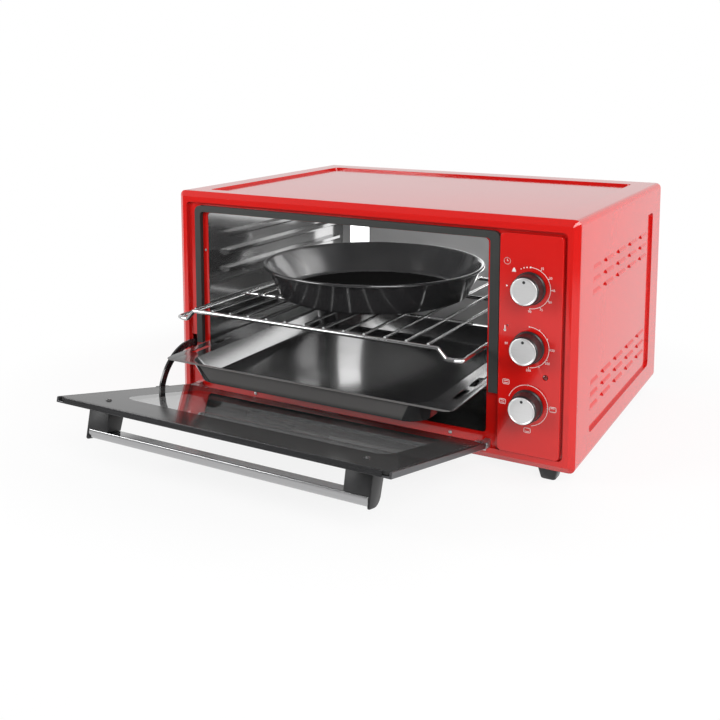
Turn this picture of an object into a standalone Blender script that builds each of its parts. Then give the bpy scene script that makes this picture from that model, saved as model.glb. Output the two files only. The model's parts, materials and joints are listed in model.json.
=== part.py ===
"""Red countertop oven with the door, rack and tray open: every separate piece is one closed object.

Lengths are metres, +Z is up, +X is the side with the controls and -Y is the front. The product is laid out
with x = 0 in the middle of the case, y = 0 on the front plane of the case and z = 0 on the table. The last
step moves everything so that the frame's origin is the middle of the bottom of the resting object.
"""

import math

import bmesh
import bpy
from mathutils import Matrix, Vector

# Driving dimensions of the case.
case_width = 0.530
case_depth = 0.383
case_height = 0.275
foot_height = 0.016
sheet = 0.0012
gap = 0.0003
corner_radius = 0.007
tool_reach = 0.010
shell_lip = 0.014

half_width = case_width / 2
case_bottom = foot_height
case_top = foot_height + case_height
body_bottom = case_bottom + sheet + gap

# Front frame.
bevel_width = 0.0070
bevel_depth = 0.0050
rim_depth = 0.0070
frame_tail_depth = 0.018
pocket_depth = 0.0050
pocket_side_rim = 0.0130
pocket_bottom_rim = 0.0130
pocket_top_rim = 0.0140
pocket_radius = 0.0050

# Cavity, as distances in from the outside of the case.
cavity_left_inset = 0.0410
cavity_right_inset = 0.1000
cavity_floor_rise = 0.0260
cavity_roof_drop = 0.0250
cavity_back_inset = 0.0310
cavity_front = 0.0066
opening_lap = 0.0020
cavity_left = -half_width + cavity_left_inset
cavity_right = half_width - cavity_right_inset
cavity_floor = case_bottom + cavity_floor_rise
cavity_roof = case_top - cavity_roof_drop
cavity_back = case_depth - cavity_back_inset
cavity_height = cavity_roof - cavity_floor
cavity_length = cavity_back - cavity_front
cavity_middle = (cavity_left + cavity_right) / 2

# Runners pressed into the side walls of the cavity.
runner_top_shares = (0.236607, 0.433929, 0.642857, 0.747768, 0.852679)
runner_height = 0.0062
runner_reach = 0.0080
runner_chamfer = 0.0022
runner_start_inset = 0.0354
runner_end_inset = 0.0220
runner_tops = [cavity_floor + cavity_height * share for share in runner_top_shares]
runner_start = cavity_front + runner_start_inset
runner_end = cavity_back - runner_end_inset

# Control panel, knobs and pilot lamp.
panel_from_cavity = 0.0140
panel_side_inset = 0.0160
panel_bottom_inset = 0.0143
panel_top_inset = 0.0180
panel_proud = 0.0030
panel_radius = 0.0045
panel_left = cavity_right + panel_from_cavity
panel_right = half_width - panel_side_inset
panel_bottom = case_bottom + panel_bottom_inset
panel_top = case_top - panel_top_inset
knob_offset = 0.0005
knob_drop = 0.00065
knob_pitch = 0.0645
knob_x = (panel_left + panel_right) / 2 - knob_offset
knob_middle_z = (panel_bottom + panel_top) / 2 - knob_drop
knob_zs = (knob_middle_z + knob_pitch, knob_middle_z, knob_middle_z - knob_pitch)
knob_radius = 0.0178
knob_height = 0.0200
knob_face_radius = 0.0150
knob_lip = 0.0010
knob_chamfer = 0.0008
knob_shoulder = 0.0022
knob_taper = 0.0004
knob_waist = 0.0010
knob_skirt_height = 0.0045
knob_face_proud = 0.0012
knob_face_round = 0.0016
shaft_radius = 0.0030
shaft_reach = 0.0160
shaft_chamfer = 0.0008
neck_radius = 0.0048
bore_clearance = 0.0003
lamp_inset = 0.0166
lamp_drop = 0.0310
lamp_radius = 0.0026
lamp_crown = 0.0010
lamp_body = 0.0120
lamp_lead = 0.0080
lamp_x = panel_right - lamp_inset
lamp_z = knob_middle_z - lamp_drop

# Timer, thermostat and selector behind the panel.
unit_half_width_shares = (0.3143, 0.2571, 0.2857)
unit_half_height_shares = (0.3566, 0.3101, 0.3101)
unit_depths = (0.0260, 0.0300, 0.0340)

# Door, laid out closed about its hinge axis: z counts up from the axis and y outward is negative.
door_axis_out = 0.0060
door_axis_rise = 0.0180
door_open_deg = 77.0
door_side_inset = 0.0220
door_panel_gap = 0.0090
door_low = 0.0060
door_top_inset = 0.0190
door_half = 0.0032
glass_thickness = 0.0040
trim_wall = 0.0026
trim_lip = 0.0100
rail_height = 0.0150
pin_radius = 0.0030
pin_past_edge = 0.0005
pin_in_tab = 0.0010
tab_inset = 0.0080
tab_width = 0.0060
tab_half = 0.0035
bearing_wall = 0.0010
bearing_inset = 0.0010
bearing_width = 0.0064
door_axis_y = -door_axis_out
door_axis_z = case_bottom + door_axis_rise
door_left = -half_width + door_side_inset
door_right = panel_left - door_panel_gap
door_high = case_top - door_axis_z - door_top_inset

# Handle.
bracket_width = 0.0300
bracket_inset = 0.0290
bracket_drop = 0.0215
bracket_height = 0.0250
bracket_reach = 0.0389
bracket_round = 0.0012
bracket_profile_shares = (
    (0.0, 0.0),
    (0.0, 1.0),
    (0.96, 1.0),
    (1.0, 0.95),
    (1.0, 0.58),
    (0.985, 0.44),
    (0.94, 0.31),
    (0.87, 0.21),
    (0.78, 0.14),
)
bar_drop = 0.0220
bar_height = 0.0215
bar_inner = 0.0285
bar_outer = 0.0392
bar_edge = 0.0006
bar_radius = 0.0080
bar_arc_steps = 6
bar_end_cap = 0.0030
handle_screw_radius = 0.0035
handle_screw_head = 0.0014

# Door arm.
arm_inner = 0.0530
arm_outer = 0.0620
arm_outside = 0.0050
arm_thickness = 0.0028
arm_sweep_deg = 97.0
arm_start_deg = -2.0
arm_steps = 18
arm_foot_half = 0.0030
arm_foot_over = 0.0060
arm_slot_below = 0.0070
arm_slot_above = 0.0050
arm_slot_clearance = 0.0020
arm_left = door_left - arm_outside
arm_right = arm_left + arm_thickness

# Seal around the opening.
seal_side_inset = 0.0270
seal_left_width = 0.0090
seal_right_width = 0.0110
seal_top_width = 0.0080
seal_panel_gap = 0.0010
seal_top_inset = 0.0178
seal_end_rise = 0.0770
seal_proud = 0.0015
seal_radius = 0.0080
seal_left = -half_width + seal_side_inset
seal_right = panel_left - seal_panel_gap
seal_top = case_top - seal_top_inset
seal_end = case_bottom + seal_end_rise
seal_front = -seal_proud

# Rack, pulled out as it rests.
rack_pull_out = 0.0740
rack_short = 0.0054
rack_side_gap = 0.0045
rail_radius = 0.0025
wire_radius = 0.0016
deck_rise = 0.0110
step_in = 0.0165
step_run = 0.0100
tip_dip = 0.0040
wire_count = 13
wire_left_inset = 0.0295
wire_right_inset = 0.0375
support_shares = (0.32, 0.68)
rack_length = cavity_length - rack_short
rack_back = cavity_back - rack_pull_out
rack_front = rack_back - rack_length
rack_left = cavity_left + rack_side_gap
rack_right = cavity_right - rack_side_gap
rail_z = runner_tops[1] + rail_radius + gap
deck_z = rail_z + deck_rise
wire_first = rack_left + wire_left_inset
wire_last = rack_right - wire_right_inset
wire_z = deck_z + rail_radius + wire_radius - wire_radius * 0.6

# Baking tray, pulled out as it rests.
tray_pull_out = 0.1000
tray_left_gap = 0.0030
tray_right_gap = 0.0035
tray_depth_share = 0.475138
tray_side_flange = 0.0310
tray_end_flange = 0.0110
tray_slope = 0.0085
tray_sheet = 0.0010
tray_hem = 0.0008
tray_radius = 0.0120
tray_well_radius = 0.0240
tray_floor_round = 0.0040
tray_round_rise = 0.0018
tray_slot_width = 0.0080
tray_slot_length = 0.0340
tray_slot_starts = (0.0400, 0.0860)
tray_length = rack_length
tray_back = cavity_back - tray_pull_out
tray_front = tray_back - tray_length
tray_left = cavity_left + tray_left_gap
tray_right = cavity_right - tray_right_gap
tray_flange_z = runner_tops[0] + tray_sheet + gap
tray_bottom_z = tray_flange_z - (tray_flange_z - cavity_floor) * tray_depth_share

# Round pan, standing on the rack.
pan_rim_radius = 0.1430
pan_slope = 0.0195
pan_height = 0.0410
pan_sheet = 0.0012
pan_roll = 0.0026
pan_floor_round = 0.0060
pan_round_rise = 0.0020
pan_side_share = 0.192233
pan_back_share = 0.525000
pan_floor_radius = pan_rim_radius - pan_slope
pan_x = cavity_middle - ((cavity_right - cavity_left) / 2 - pan_rim_radius) * pan_side_share
pan_y = rack_front + rack_length * pan_back_share

# Heaters and thermostat bulb.
heater_radius = 0.0035
heater_bush_radius = 0.0070
heater_bush_length = 0.0070
heater_tail = 0.0140
heater_tail_radius = 0.0020
heater_y_shares = (0.299363, 0.690214)
heater_roof_drop = 0.0160
heater_floor_share = 0.267035
heater_ys = [cavity_front + cavity_length * share for share in heater_y_shares]
heater_top_z = cavity_roof - heater_roof_drop
heater_bottom_z = cavity_floor + (tray_flange_z - cavity_floor) * heater_floor_share
bulb_radius = 0.0026
bulb_length = 0.0430
bulb_start = 0.0434
bulb_roof_drop = 0.0220
bulb_y = cavity_front + bulb_start
bulb_z = cavity_roof - bulb_roof_drop

# Sunken panels and louvres of the outer shell.
press_depth = 0.0030
press_radius = 0.0060
top_press_side_inset = 0.0320
top_press_front = 0.0240
top_press_back_inset = 0.0330
side_press_front = 0.0550
side_press_back_inset = 0.0430
side_press_low_inset = 0.0290
side_press_high_inset = 0.0350
top_press_half = half_width - top_press_side_inset
top_press_back = case_depth - top_press_back_inset
side_press_back = case_depth - side_press_back_inset
side_press_low = case_bottom + side_press_low_inset
side_press_high = case_top - side_press_high_inset
louvre_length = 0.0320
louvre_height = 0.0055
louvre_hood = 0.0021
louvre_slit = 0.0016
louvre_first_inset = 0.0205
louvre_last_inset = 0.0405
louvre_columns = 5
louvre_rows = 3
louvre_row_pitch = 0.0140
louvre_top_inset = 0.0220
louvre_bottom_inset = 0.0300
louvre_first = side_press_front + louvre_first_inset
louvre_pitch = (side_press_back - louvre_last_inset - louvre_first) / (louvre_columns - 1)
louvre_tops = [side_press_high - louvre_top_inset - louvre_row_pitch * row for row in range(louvre_rows)] + [
    side_press_low + louvre_bottom_inset + louvre_row_pitch * row for row in range(louvre_rows)
]

# Back panel, wall spacers and cable gland.
vent_length = 0.0600
vent_height = 0.0040
vent_rows = 4
vent_pitch = 0.0120
vent_left_insets = (0.0850, 0.1700)
vent_right_inset = 0.0900
vent_top_inset = 0.0860
vent_bottom_inset = 0.0540
spacer_radius = 0.0090
spacer_length = 0.0120
spacer_left_inset = 0.0650
spacer_right_inset = 0.1250
spacer_height_share = 0.56
gland_side_inset = 0.0400
gland_rise = 0.0440
gland_radius = 0.0080
gland_inside = 0.0080
gland_reach = 0.0100
gland_x = half_width - gland_side_inset
gland_z = case_bottom + gland_rise

# Base plate and feet.
base_lip = 0.0110
base_slot_length = 0.0400
base_slot_width = 0.0050
base_slot_x_shares = (-0.358491, -0.207547, -0.056604, 0.094340, 0.320755)
base_slot_rows = 3
base_slot_pitch = 0.0200
base_slot_front = 0.0900
base_slot_back_inset = 0.1330
foot_top = 0.0230
foot_bottom = 0.0170
foot_side_inset = 0.0330
foot_front_y = 0.0230
foot_back_inset = 0.0250
foot_x = half_width - foot_side_inset
foot_back_y = case_depth - foot_back_inset

# Heat shield between the cavity and the controls.
shield_from_cavity = 0.0190
shield_slot_length = 0.0300
shield_slot_height = 0.0060
shield_slot_y_shares = (0.182768, 0.443864, 0.757180)
shield_slot_z_shares = (0.378182, 0.487273, 0.596364)
shield_x = cavity_right + shield_from_cavity

# Screws of the front frame.
screw_radius = 0.0022
rail_screw_left_inset = 0.0930
rail_screw_right_inset = 0.0500
rail_screw_drop = 0.0055
flange_screw_drop = 0.0510

bpy.ops.object.select_all(action="DESELECT")
for old in list(bpy.data.objects):
    bpy.data.objects.remove(old, do_unlink=True)

scene = bpy.context.scene
tools = bpy.data.collections.new("tools")
scene.collection.children.link(tools)

made = []


def material(name, colour, roughness, metallic):
    """A plain Principled material."""
    found = bpy.data.materials.get(name)
    if found:
        return found
    new = bpy.data.materials.new(name)
    new.use_nodes = True
    shader = new.node_tree.nodes["Principled BSDF"]
    shader.inputs["Base Color"].default_value = (*colour, 1.0)
    shader.inputs["Roughness"].default_value = roughness
    shader.inputs["Metallic"].default_value = metallic
    new.diffuse_color = (*colour, 1.0)
    return new


red = ("red_enamel", (0.62, 0.015, 0.010), 0.25, 0.0)
black = ("black_plastic", (0.015, 0.015, 0.016), 0.4, 0.0)
rubber = ("seal_rubber", (0.03, 0.03, 0.03), 0.8, 0.0)
steel = ("plain_steel", (0.55, 0.55, 0.55), 0.35, 1.0)
chrome = ("bright_wire", (0.8, 0.8, 0.8), 0.15, 1.0)
enamel = ("black_enamel", (0.01, 0.01, 0.012), 0.2, 0.0)
silver = ("silver_face", (0.7, 0.7, 0.7), 0.3, 1.0)
glass = ("dark_glass", (0.05, 0.05, 0.05), 0.05, 0.0)
alloy = ("brushed_alloy", (0.6, 0.6, 0.6), 0.35, 1.0)
ceramic = ("white_ceramic", (0.8, 0.78, 0.72), 0.5, 0.0)
amber = ("lamp_lens", (0.5, 0.05, 0.02), 0.2, 0.0)


def add(name, mesh, finish=None, parent=None):
    """Links a mesh as a node, or as a hidden tool when it has no finish."""
    obj = bpy.data.objects.new(name, mesh)
    if finish is None:
        tools.objects.link(obj)
        obj.hide_render = True
        obj.display_type = "WIRE"
    else:
        scene.collection.objects.link(obj)
        mesh.materials.append(material(*finish))
        made.append(obj)
    if parent is not None:
        obj.parent = parent
    return obj


def mesh_from(name, bm):
    """Turns a bmesh into a mesh with its faces turned outward."""
    bmesh.ops.recalc_face_normals(bm, faces=bm.faces[:])
    mesh = bpy.data.meshes.new(name)
    bm.to_mesh(mesh)
    bm.free()
    return mesh


def rounded(x0, x1, z0, z1, radius, steps=4):
    """A rounded rectangle as 2D points, going round once from the lower right corner."""
    points = []
    for cx, cz, start in (
        (x1 - radius, z0 + radius, -90),
        (x1 - radius, z1 - radius, 0),
        (x0 + radius, z1 - radius, 90),
        (x0 + radius, z0 + radius, 180),
    ):
        for i in range(steps + 1):
            angle = math.radians(start + 90 * i / steps)
            points.append((cx + radius * math.cos(angle), cz + radius * math.sin(angle)))
    return points


def place(axis, point, along):
    """A 3D point from a 2D one: the extrusion runs along the axis named."""
    a, b = point
    if axis == "x":
        return Vector((along, a, b))
    if axis == "y":
        return Vector((a, along, b))
    return Vector((a, b, along))


def loft_into(bm, axis, rings):
    """Joins rings of equal length in order and closes both ends."""
    rows = []
    for along, outline in rings:
        rows.append([bm.verts.new(place(axis, p, along)) for p in outline])
    count = len(rows[0])
    for low, high in zip(rows, rows[1:]):
        for i in range(count):
            j = (i + 1) % count
            bm.faces.new((low[i], low[j], high[j], high[i]))
    bm.faces.new(rows[0])
    bm.faces.new(rows[-1])


def loft(name, axis, rings, finish=None, parent=None):
    """A solid through several outlines."""
    bm = bmesh.new()
    loft_into(bm, axis, rings)
    return add(name, mesh_from(name, bm), finish, parent)


def prism(name, axis, outline, start, end, finish=None, parent=None):
    """A straight extrusion of one outline."""
    return loft(name, axis, [(start, outline), (end, outline)], finish, parent)


def box_into(bm, x0, x1, y0, y1, z0, z1):
    """Adds a plain box to a bmesh."""
    centre = Vector(((x0 + x1) / 2, (y0 + y1) / 2, (z0 + z1) / 2))
    size = Matrix.Diagonal((x1 - x0, y1 - y0, z1 - z0, 1))
    bmesh.ops.create_cube(bm, size=1, matrix=Matrix.Translation(centre) @ size)


def box(name, x0, x1, y0, y1, z0, z1, finish=None, parent=None):
    """A plain box."""
    bm = bmesh.new()
    box_into(bm, x0, x1, y0, y1, z0, z1)
    return add(name, mesh_from(name, bm), finish, parent)


def circle(centre, radius, segments):
    """The corners of a regular outline about a centre."""
    angles = [2 * math.pi * i / segments for i in range(segments)]
    return [(centre[0] + radius * math.cos(a), centre[1] + radius * math.sin(a)) for a in angles]


def disc_into(bm, axis, centre, radius, start, end, segments):
    """Adds a cylinder along an axis to a bmesh."""
    ring = circle(centre, radius, segments)
    loft_into(bm, axis, [(start, ring), (end, ring)])


def turned(name, axis, centre, profile, finish=None, parent=None, segments=24):
    """A body of revolution: the profile lists (along, radius) from one end to the other."""
    rings = [(along, circle(centre, radius, segments)) for along, radius in profile]
    return loft(name, axis, rings, finish, parent)


def boolean(target, tool, operation):
    """Adds an exact Boolean."""
    modifier = target.modifiers.new(operation.lower() + "_" + tool.name, "BOOLEAN")
    modifier.operation = operation
    modifier.solver = "EXACT"
    modifier.object = tool
    tool.parent = target.parent


def cut(target, tool):
    boolean(target, tool, "DIFFERENCE")


def fuse(target, tool):
    boolean(target, tool, "UNION")


def soften(obj, width, segments=2, angle=40):
    """Rounds the sharp edges."""
    modifier = obj.modifiers.new("soft_edges", "BEVEL")
    modifier.width = width
    modifier.segments = segments
    modifier.limit_method = "ANGLE"
    modifier.angle_limit = math.radians(angle)
    modifier.harden_normals = False


def wire(name, points, radius, cyclic=False, finish=None, parent=None, resolution=1):
    """A round wire along a polyline, as a mesh."""
    curve = bpy.data.curves.new(name, "CURVE")
    curve.dimensions = "3D"
    curve.bevel_depth = radius
    curve.bevel_resolution = resolution
    curve.use_fill_caps = True
    spline = curve.splines.new("POLY")
    spline.points.add(len(points) - 1)
    for row, point in zip(spline.points, points):
        row.co = (*point, 1)
    spline.use_cyclic_u = cyclic
    guide = bpy.data.objects.new(name + "_guide", curve)
    scene.collection.objects.link(guide)
    bpy.context.view_layer.update()
    graph = bpy.context.evaluated_depsgraph_get()
    mesh = bpy.data.meshes.new_from_object(guide.evaluated_get(graph))
    bpy.data.objects.remove(guide, do_unlink=True)
    bm = bmesh.new()
    bm.from_mesh(mesh)
    bmesh.ops.remove_doubles(bm, verts=bm.verts[:], dist=radius / 1000)
    return add(name, mesh_from(name, bm), finish, parent)


# Outer shell: a bent sheet with lips under the case, three sunken panels and two louvre groups on each side.
shell_front = rim_depth + gap


def c_outline(inset):
    """Half of the shell's section, from the lip's end round to the other lip's end."""
    side = half_width - inset
    full = rounded(-side, side, case_bottom + inset, case_top - inset, corner_radius - inset)
    # The list starts at the lower right corner, so it is already in order from the right lip to the left one.
    lip_end = half_width - shell_lip
    return [(lip_end, case_bottom + inset)] + full + [(-lip_end, case_bottom + inset)]


shell = prism("outer_shell", "y", c_outline(0.0) + c_outline(sheet)[::-1], shell_front, case_depth, red)



def side_field(grow):
    """Outline of a side's sunken panel, grown all round."""
    return rounded(
        side_press_front - grow,
        side_press_back + grow,
        side_press_low - grow,
        side_press_high + grow,
        press_radius + grow,
    )


def top_field(grow):
    """Outline of the top's sunken panel, grown all round."""
    return rounded(
        -top_press_half - grow,
        top_press_half + grow,
        top_press_front - grow,
        top_press_back + grow,
        press_radius + grow,
    )


bm = bmesh.new()
pad = press_depth + sheet
grow = sheet
for side in (-1, 1):
    outer = side * (half_width - sheet / 2)
    inner = side * (half_width - pad)
    loft_into(
        bm,
        "x",
        [
            (at, side_field(grow))
            for at in sorted((outer, inner))
        ],
    )
loft_into(
    bm,
    "z",
    [
        (at, top_field(grow))
        for at in (case_top - pad, case_top - sheet / 2)
    ],
)
pads = add("shell_pads", mesh_from("shell_pads", bm))
fuse(shell, pads)

bm = bmesh.new()
for side in (-1, 1):
    outer = side * (half_width + tool_reach)
    inner = side * (half_width - press_depth)
    loft_into(
        bm,
        "x",
        [
            (at, side_field(0.0))
            for at in sorted((outer, inner))
        ],
    )
loft_into(
    bm,
    "z",
    [
        (at, top_field(0.0))
        for at in (case_top - press_depth, case_top + tool_reach)
    ],
)
pockets = add("shell_pockets", mesh_from("shell_pockets", bm))
cut(shell, pockets)

hoods, slits = bmesh.new(), bmesh.new()
for side in (-1, 1):
    face = half_width - press_depth
    for top in louvre_tops:
        for column in range(louvre_columns):
            start = louvre_first + column * louvre_pitch - louvre_length / 2
            end = start + louvre_length
            low = top - louvre_height
            hood = [
                (side * (face - sheet / 2), low),
                (side * (face + louvre_hood), low),
                (side * (face + louvre_hood * 0.9), low + louvre_height * 0.35),
                (side * (face - sheet / 2), top),
            ]
            loft_into(hoods, "y", [(start, hood), (end, hood)])
            box_into(
                slits,
                *sorted((side * (face - sheet - press_depth), side * (face + louvre_hood * 0.55))),
                start + sheet,
                end - sheet,
                low - louvre_slit / 2,
                low + louvre_slit,
            )
fuse(shell, add("shell_hoods", mesh_from("shell_hoods", hoods)))
cut(shell, add("shell_slits", mesh_from("shell_slits", slits)))

# Front frame: bevelled rim, sunken field, door opening and a tail that the shell slides over.
tail_inset = sheet + gap


def frame_ring(inset):
    radius = max(corner_radius - inset, corner_radius / 5)
    return rounded(-half_width + inset, half_width - inset, case_bottom + inset, case_top - inset, radius)


frame = loft(
    "front_frame",
    "y",
    [
        (0.0, frame_ring(bevel_width)),
        (bevel_depth, frame_ring(0.0)),
        (rim_depth, frame_ring(0.0)),
        (rim_depth, frame_ring(tail_inset)),
        (frame_tail_depth, frame_ring(tail_inset)),
    ],
    red,
)
field = (
    -half_width + pocket_side_rim,
    half_width - pocket_side_rim,
    case_bottom + pocket_bottom_rim,
    case_top - pocket_top_rim,
)
cut(frame, prism("frame_pocket", "y", rounded(*field, pocket_radius), -tool_reach, pocket_depth))
cut(
    frame,
    prism(
        "frame_back",
        "y",
        rounded(
            -half_width + tail_inset + sheet,
            half_width - tail_inset - sheet,
            case_bottom + tail_inset + sheet,
            case_top - tail_inset - sheet,
            corner_radius / 2,
        ),
        pocket_depth + sheet,
        frame_tail_depth + tool_reach,
    ),
)
bm = bmesh.new()
loft_into(
    bm,
    "y",
    [
        (
            at,
            rounded(
                cavity_left + opening_lap,
                cavity_right - opening_lap,
                cavity_floor + opening_lap,
                cavity_roof - opening_lap,
                pocket_radius,
            ),
        )
        for at in (-tool_reach, frame_tail_depth + tool_reach)
    ],
)
box_into(
    bm,
    arm_left - arm_slot_clearance,
    arm_right + arm_slot_clearance,
    -tool_reach,
    frame_tail_depth,
    door_axis_z + arm_inner - arm_slot_below,
    door_axis_z + arm_outer + arm_slot_above,
)
for z in knob_zs:
    disc_into(bm, "y", (knob_x, z), neck_radius + bore_clearance, -tool_reach, frame_tail_depth, 16)
disc_into(bm, "y", (lamp_x, lamp_z), lamp_radius + bore_clearance, -tool_reach, frame_tail_depth, 12)
cut(frame, add("frame_holes", mesh_from("frame_holes", bm)))

# Control panel plate.
panel = prism(
    "control_panel",
    "y",
    rounded(panel_left, panel_right, panel_bottom, panel_top, panel_radius),
    -panel_proud,
    pocket_depth - gap,
    red,
)
bm = bmesh.new()
for z in knob_zs:
    disc_into(bm, "y", (knob_x, z), neck_radius + bore_clearance, -tool_reach, tool_reach, 16)
disc_into(bm, "y", (lamp_x, lamp_z), lamp_radius + bore_clearance, -tool_reach, tool_reach, 12)
cut(panel, add("panel_holes", mesh_from("panel_holes", bm)))

# Back panel with vent slots and the hole of the cable gland.
back_inset = sheet + 2 * gap
back_y0 = case_depth - 2 * sheet
back_y1 = case_depth - sheet
back = prism(
    "back_panel",
    "y",
    rounded(
        -half_width + back_inset,
        half_width - back_inset,
        body_bottom + sheet + gap,
        case_top - back_inset,
        corner_radius - back_inset,
    ),
    back_y0,
    back_y1,
    steel,
)
bm = bmesh.new()
vent_high = case_top - vent_top_inset
vent_low = case_bottom + vent_bottom_inset
vent_groups = [(-half_width + inset, start) for inset in vent_left_insets for start in (vent_high, vent_low)]
vent_groups.append((half_width - vent_right_inset, vent_high))
for x, start in vent_groups:
    for row in range(vent_rows):
        z = start + row * vent_pitch
        loft_into(
            bm,
            "y",
            [
                (at, rounded(x, x + vent_length, z, z + vent_height, vent_height * 0.45, 2))
                for at in (back_y0 - tool_reach, back_y1 + tool_reach)
            ],
        )
gland_bore = gland_radius + bore_clearance
disc_into(bm, "y", (gland_x, gland_z), gland_bore, back_y0 - tool_reach, back_y1 + tool_reach, 20)
cut(back, add("back_holes", mesh_from("back_holes", bm)))

# Spacers that keep the back of the case off a wall.
spacer_z = case_bottom + case_height * spacer_height_share
for side, x in (("left", -half_width + spacer_left_inset), ("right", half_width - spacer_right_inset)):
    turned(
        "wall_spacer_" + side,
        "y",
        (x, spacer_z),
        [
            (back_y1 + gap, spacer_radius),
            (back_y1 + spacer_length * 0.8, spacer_radius * 0.85),
            (back_y1 + spacer_length, spacer_radius * 0.65),
        ],
        black,
        segments=20,
    )

turned(
    "cable_gland",
    "y",
    (gland_x, gland_z),
    [
        (back_y0 - gland_inside, gland_radius * 0.8),
        (back_y0 - gap, gland_radius),
        (back_y1 + gap, gland_radius),
        (back_y1 + gap, gland_radius * 1.5),
        (back_y1 + gland_reach * 0.45, gland_radius * 1.4),
        (back_y1 + gland_reach * 0.6, gland_radius * 1.1),
        (back_y1 + gland_reach, gland_radius * 0.9),
    ],
    black,
    segments=20,
)

# Base plate: a shallow channel with stamped slots, lying on the lips of the shell.
base_half = half_width - sheet - 2 * gap
base_z = body_bottom
corner_cut = corner_radius
base_outline = [
    (-base_half + corner_cut, base_z),
    (base_half - corner_cut, base_z),
    (base_half, base_z + corner_cut),
    (base_half, base_z + base_lip),
    (base_half - sheet, base_z + base_lip),
    (base_half - sheet, base_z + corner_cut),
    (base_half - corner_cut, base_z + sheet),
    (-base_half + corner_cut, base_z + sheet),
    (-base_half + sheet, base_z + corner_cut),
    (-base_half + sheet, base_z + base_lip),
    (-base_half, base_z + base_lip),
    (-base_half, base_z + corner_cut),
]
base = prism("base_plate", "y", base_outline, frame_tail_depth + gap, back_y0 - gap, steel)
bm = bmesh.new()
base_slot_starts = (base_slot_front, case_depth - base_slot_back_inset)
base_slot_ys = [start + base_slot_pitch * row for start in base_slot_starts for row in range(base_slot_rows)]
for x in [case_width * share for share in base_slot_x_shares]:
    for y in base_slot_ys:
        loft_into(
            bm,
            "z",
            [
                (at, rounded(x, x + base_slot_length, y, y + base_slot_width, base_slot_width * 0.45, 2))
                for at in (base_z - tool_reach, base_z + tool_reach / 2)
            ],
        )
cut(base, add("base_slots", mesh_from("base_slots", bm)))

# Feet.
for end, y in (("front", foot_front_y), ("back", foot_back_y)):
    for side, x in (("left", -foot_x), ("right", foot_x)):
        rings = []
        for z, size in (
            (0.0, foot_bottom * 0.86),
            (foot_height * 0.08, foot_bottom),
            (foot_height * 0.80, foot_top),
            (base_z - gap, foot_top),
        ):
            rings.append((z, rounded(x - size / 2, x + size / 2, y - size / 2, y + size / 2, size * 0.16, 2)))
        loft("foot_" + end + "_" + side, "z", rings, black)

# Cavity: one sheet bent round floor, back and roof, and two side walls with pressed runners.
wrap = [
    (cavity_front, cavity_floor),
    (cavity_back, cavity_floor),
    (cavity_back, cavity_roof),
    (cavity_front, cavity_roof),
    (cavity_front, cavity_roof + sheet),
    (cavity_back + sheet, cavity_roof + sheet),
    (cavity_back + sheet, cavity_floor - sheet),
    (cavity_front, cavity_floor - sheet),
]
prism("cavity_wrap", "x", wrap, cavity_left + gap, cavity_right - gap, steel)

for side, face, out in (("left", cavity_left, -1), ("right", cavity_right, 1)):
    wall = box(
        "cavity_wall_" + side,
        *sorted((face, face + out * sheet)),
        cavity_front,
        cavity_back + 2 * sheet,
        cavity_floor - 2 * sheet,
        cavity_roof + 2 * sheet,
        steel,
    )
    ribs, grooves = bmesh.new(), bmesh.new()
    for top in runner_tops:
        low = top - runner_height
        tip = face - out * runner_reach
        rib = [
            (face + out * sheet / 2, low - runner_chamfer),
            (tip, low + runner_chamfer),
            (tip, top),
            (face + out * sheet / 2, top),
        ]
        loft_into(ribs, "y", [(runner_start, rib), (runner_end, rib)])
        groove = [
            (face + out * (sheet + tool_reach), low - runner_chamfer + sheet),
            (face, low - runner_chamfer + sheet),
            (tip + out * sheet, low + runner_chamfer + sheet / 2),
            (tip + out * sheet, top - sheet),
            (face + out * (sheet + tool_reach), top - sheet),
        ]
        loft_into(grooves, "y", [(runner_start + sheet, groove), (runner_end - sheet, groove)])
    fuse(wall, add("ribs_" + side, mesh_from("ribs_" + side, ribs)))
    cut(wall, add("grooves_" + side, mesh_from("grooves_" + side, grooves)))
    bm = bmesh.new()
    for y in heater_ys:
        for z in (heater_top_z, heater_bottom_z):
            heater_bore = heater_radius + 2 * bore_clearance
            disc_into(bm, "x", (y, z), heater_bore, face - tool_reach, face + tool_reach, 12)
    cut(wall, add("heater_holes_" + side, mesh_from("heater_holes_" + side, bm)))

# Heat shield between the cavity and the control space.
shield = box(
    "control_bulkhead",
    shield_x,
    shield_x + sheet,
    frame_tail_depth + 2 * gap,
    back_y0 - 2 * gap,
    base_z + sheet + gap,
    case_top - pad - gap,
    steel,
)
bm = bmesh.new()
for y in heater_ys:
    for z in (heater_top_z, heater_bottom_z):
        disc_into(bm, "x", (y, z), heater_bush_radius, shield_x - tool_reach, shield_x + tool_reach, 12)
for y in [case_depth * share for share in shield_slot_y_shares]:
    for z in [case_bottom + case_height * share for share in shield_slot_z_shares]:
        box_into(
            bm,
            shield_x - tool_reach,
            shield_x + tool_reach,
            y,
            y + shield_slot_length,
            z,
            z + shield_slot_height,
        )
cut(shield, add("shield_holes", mesh_from("shield_holes", bm)))

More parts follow.
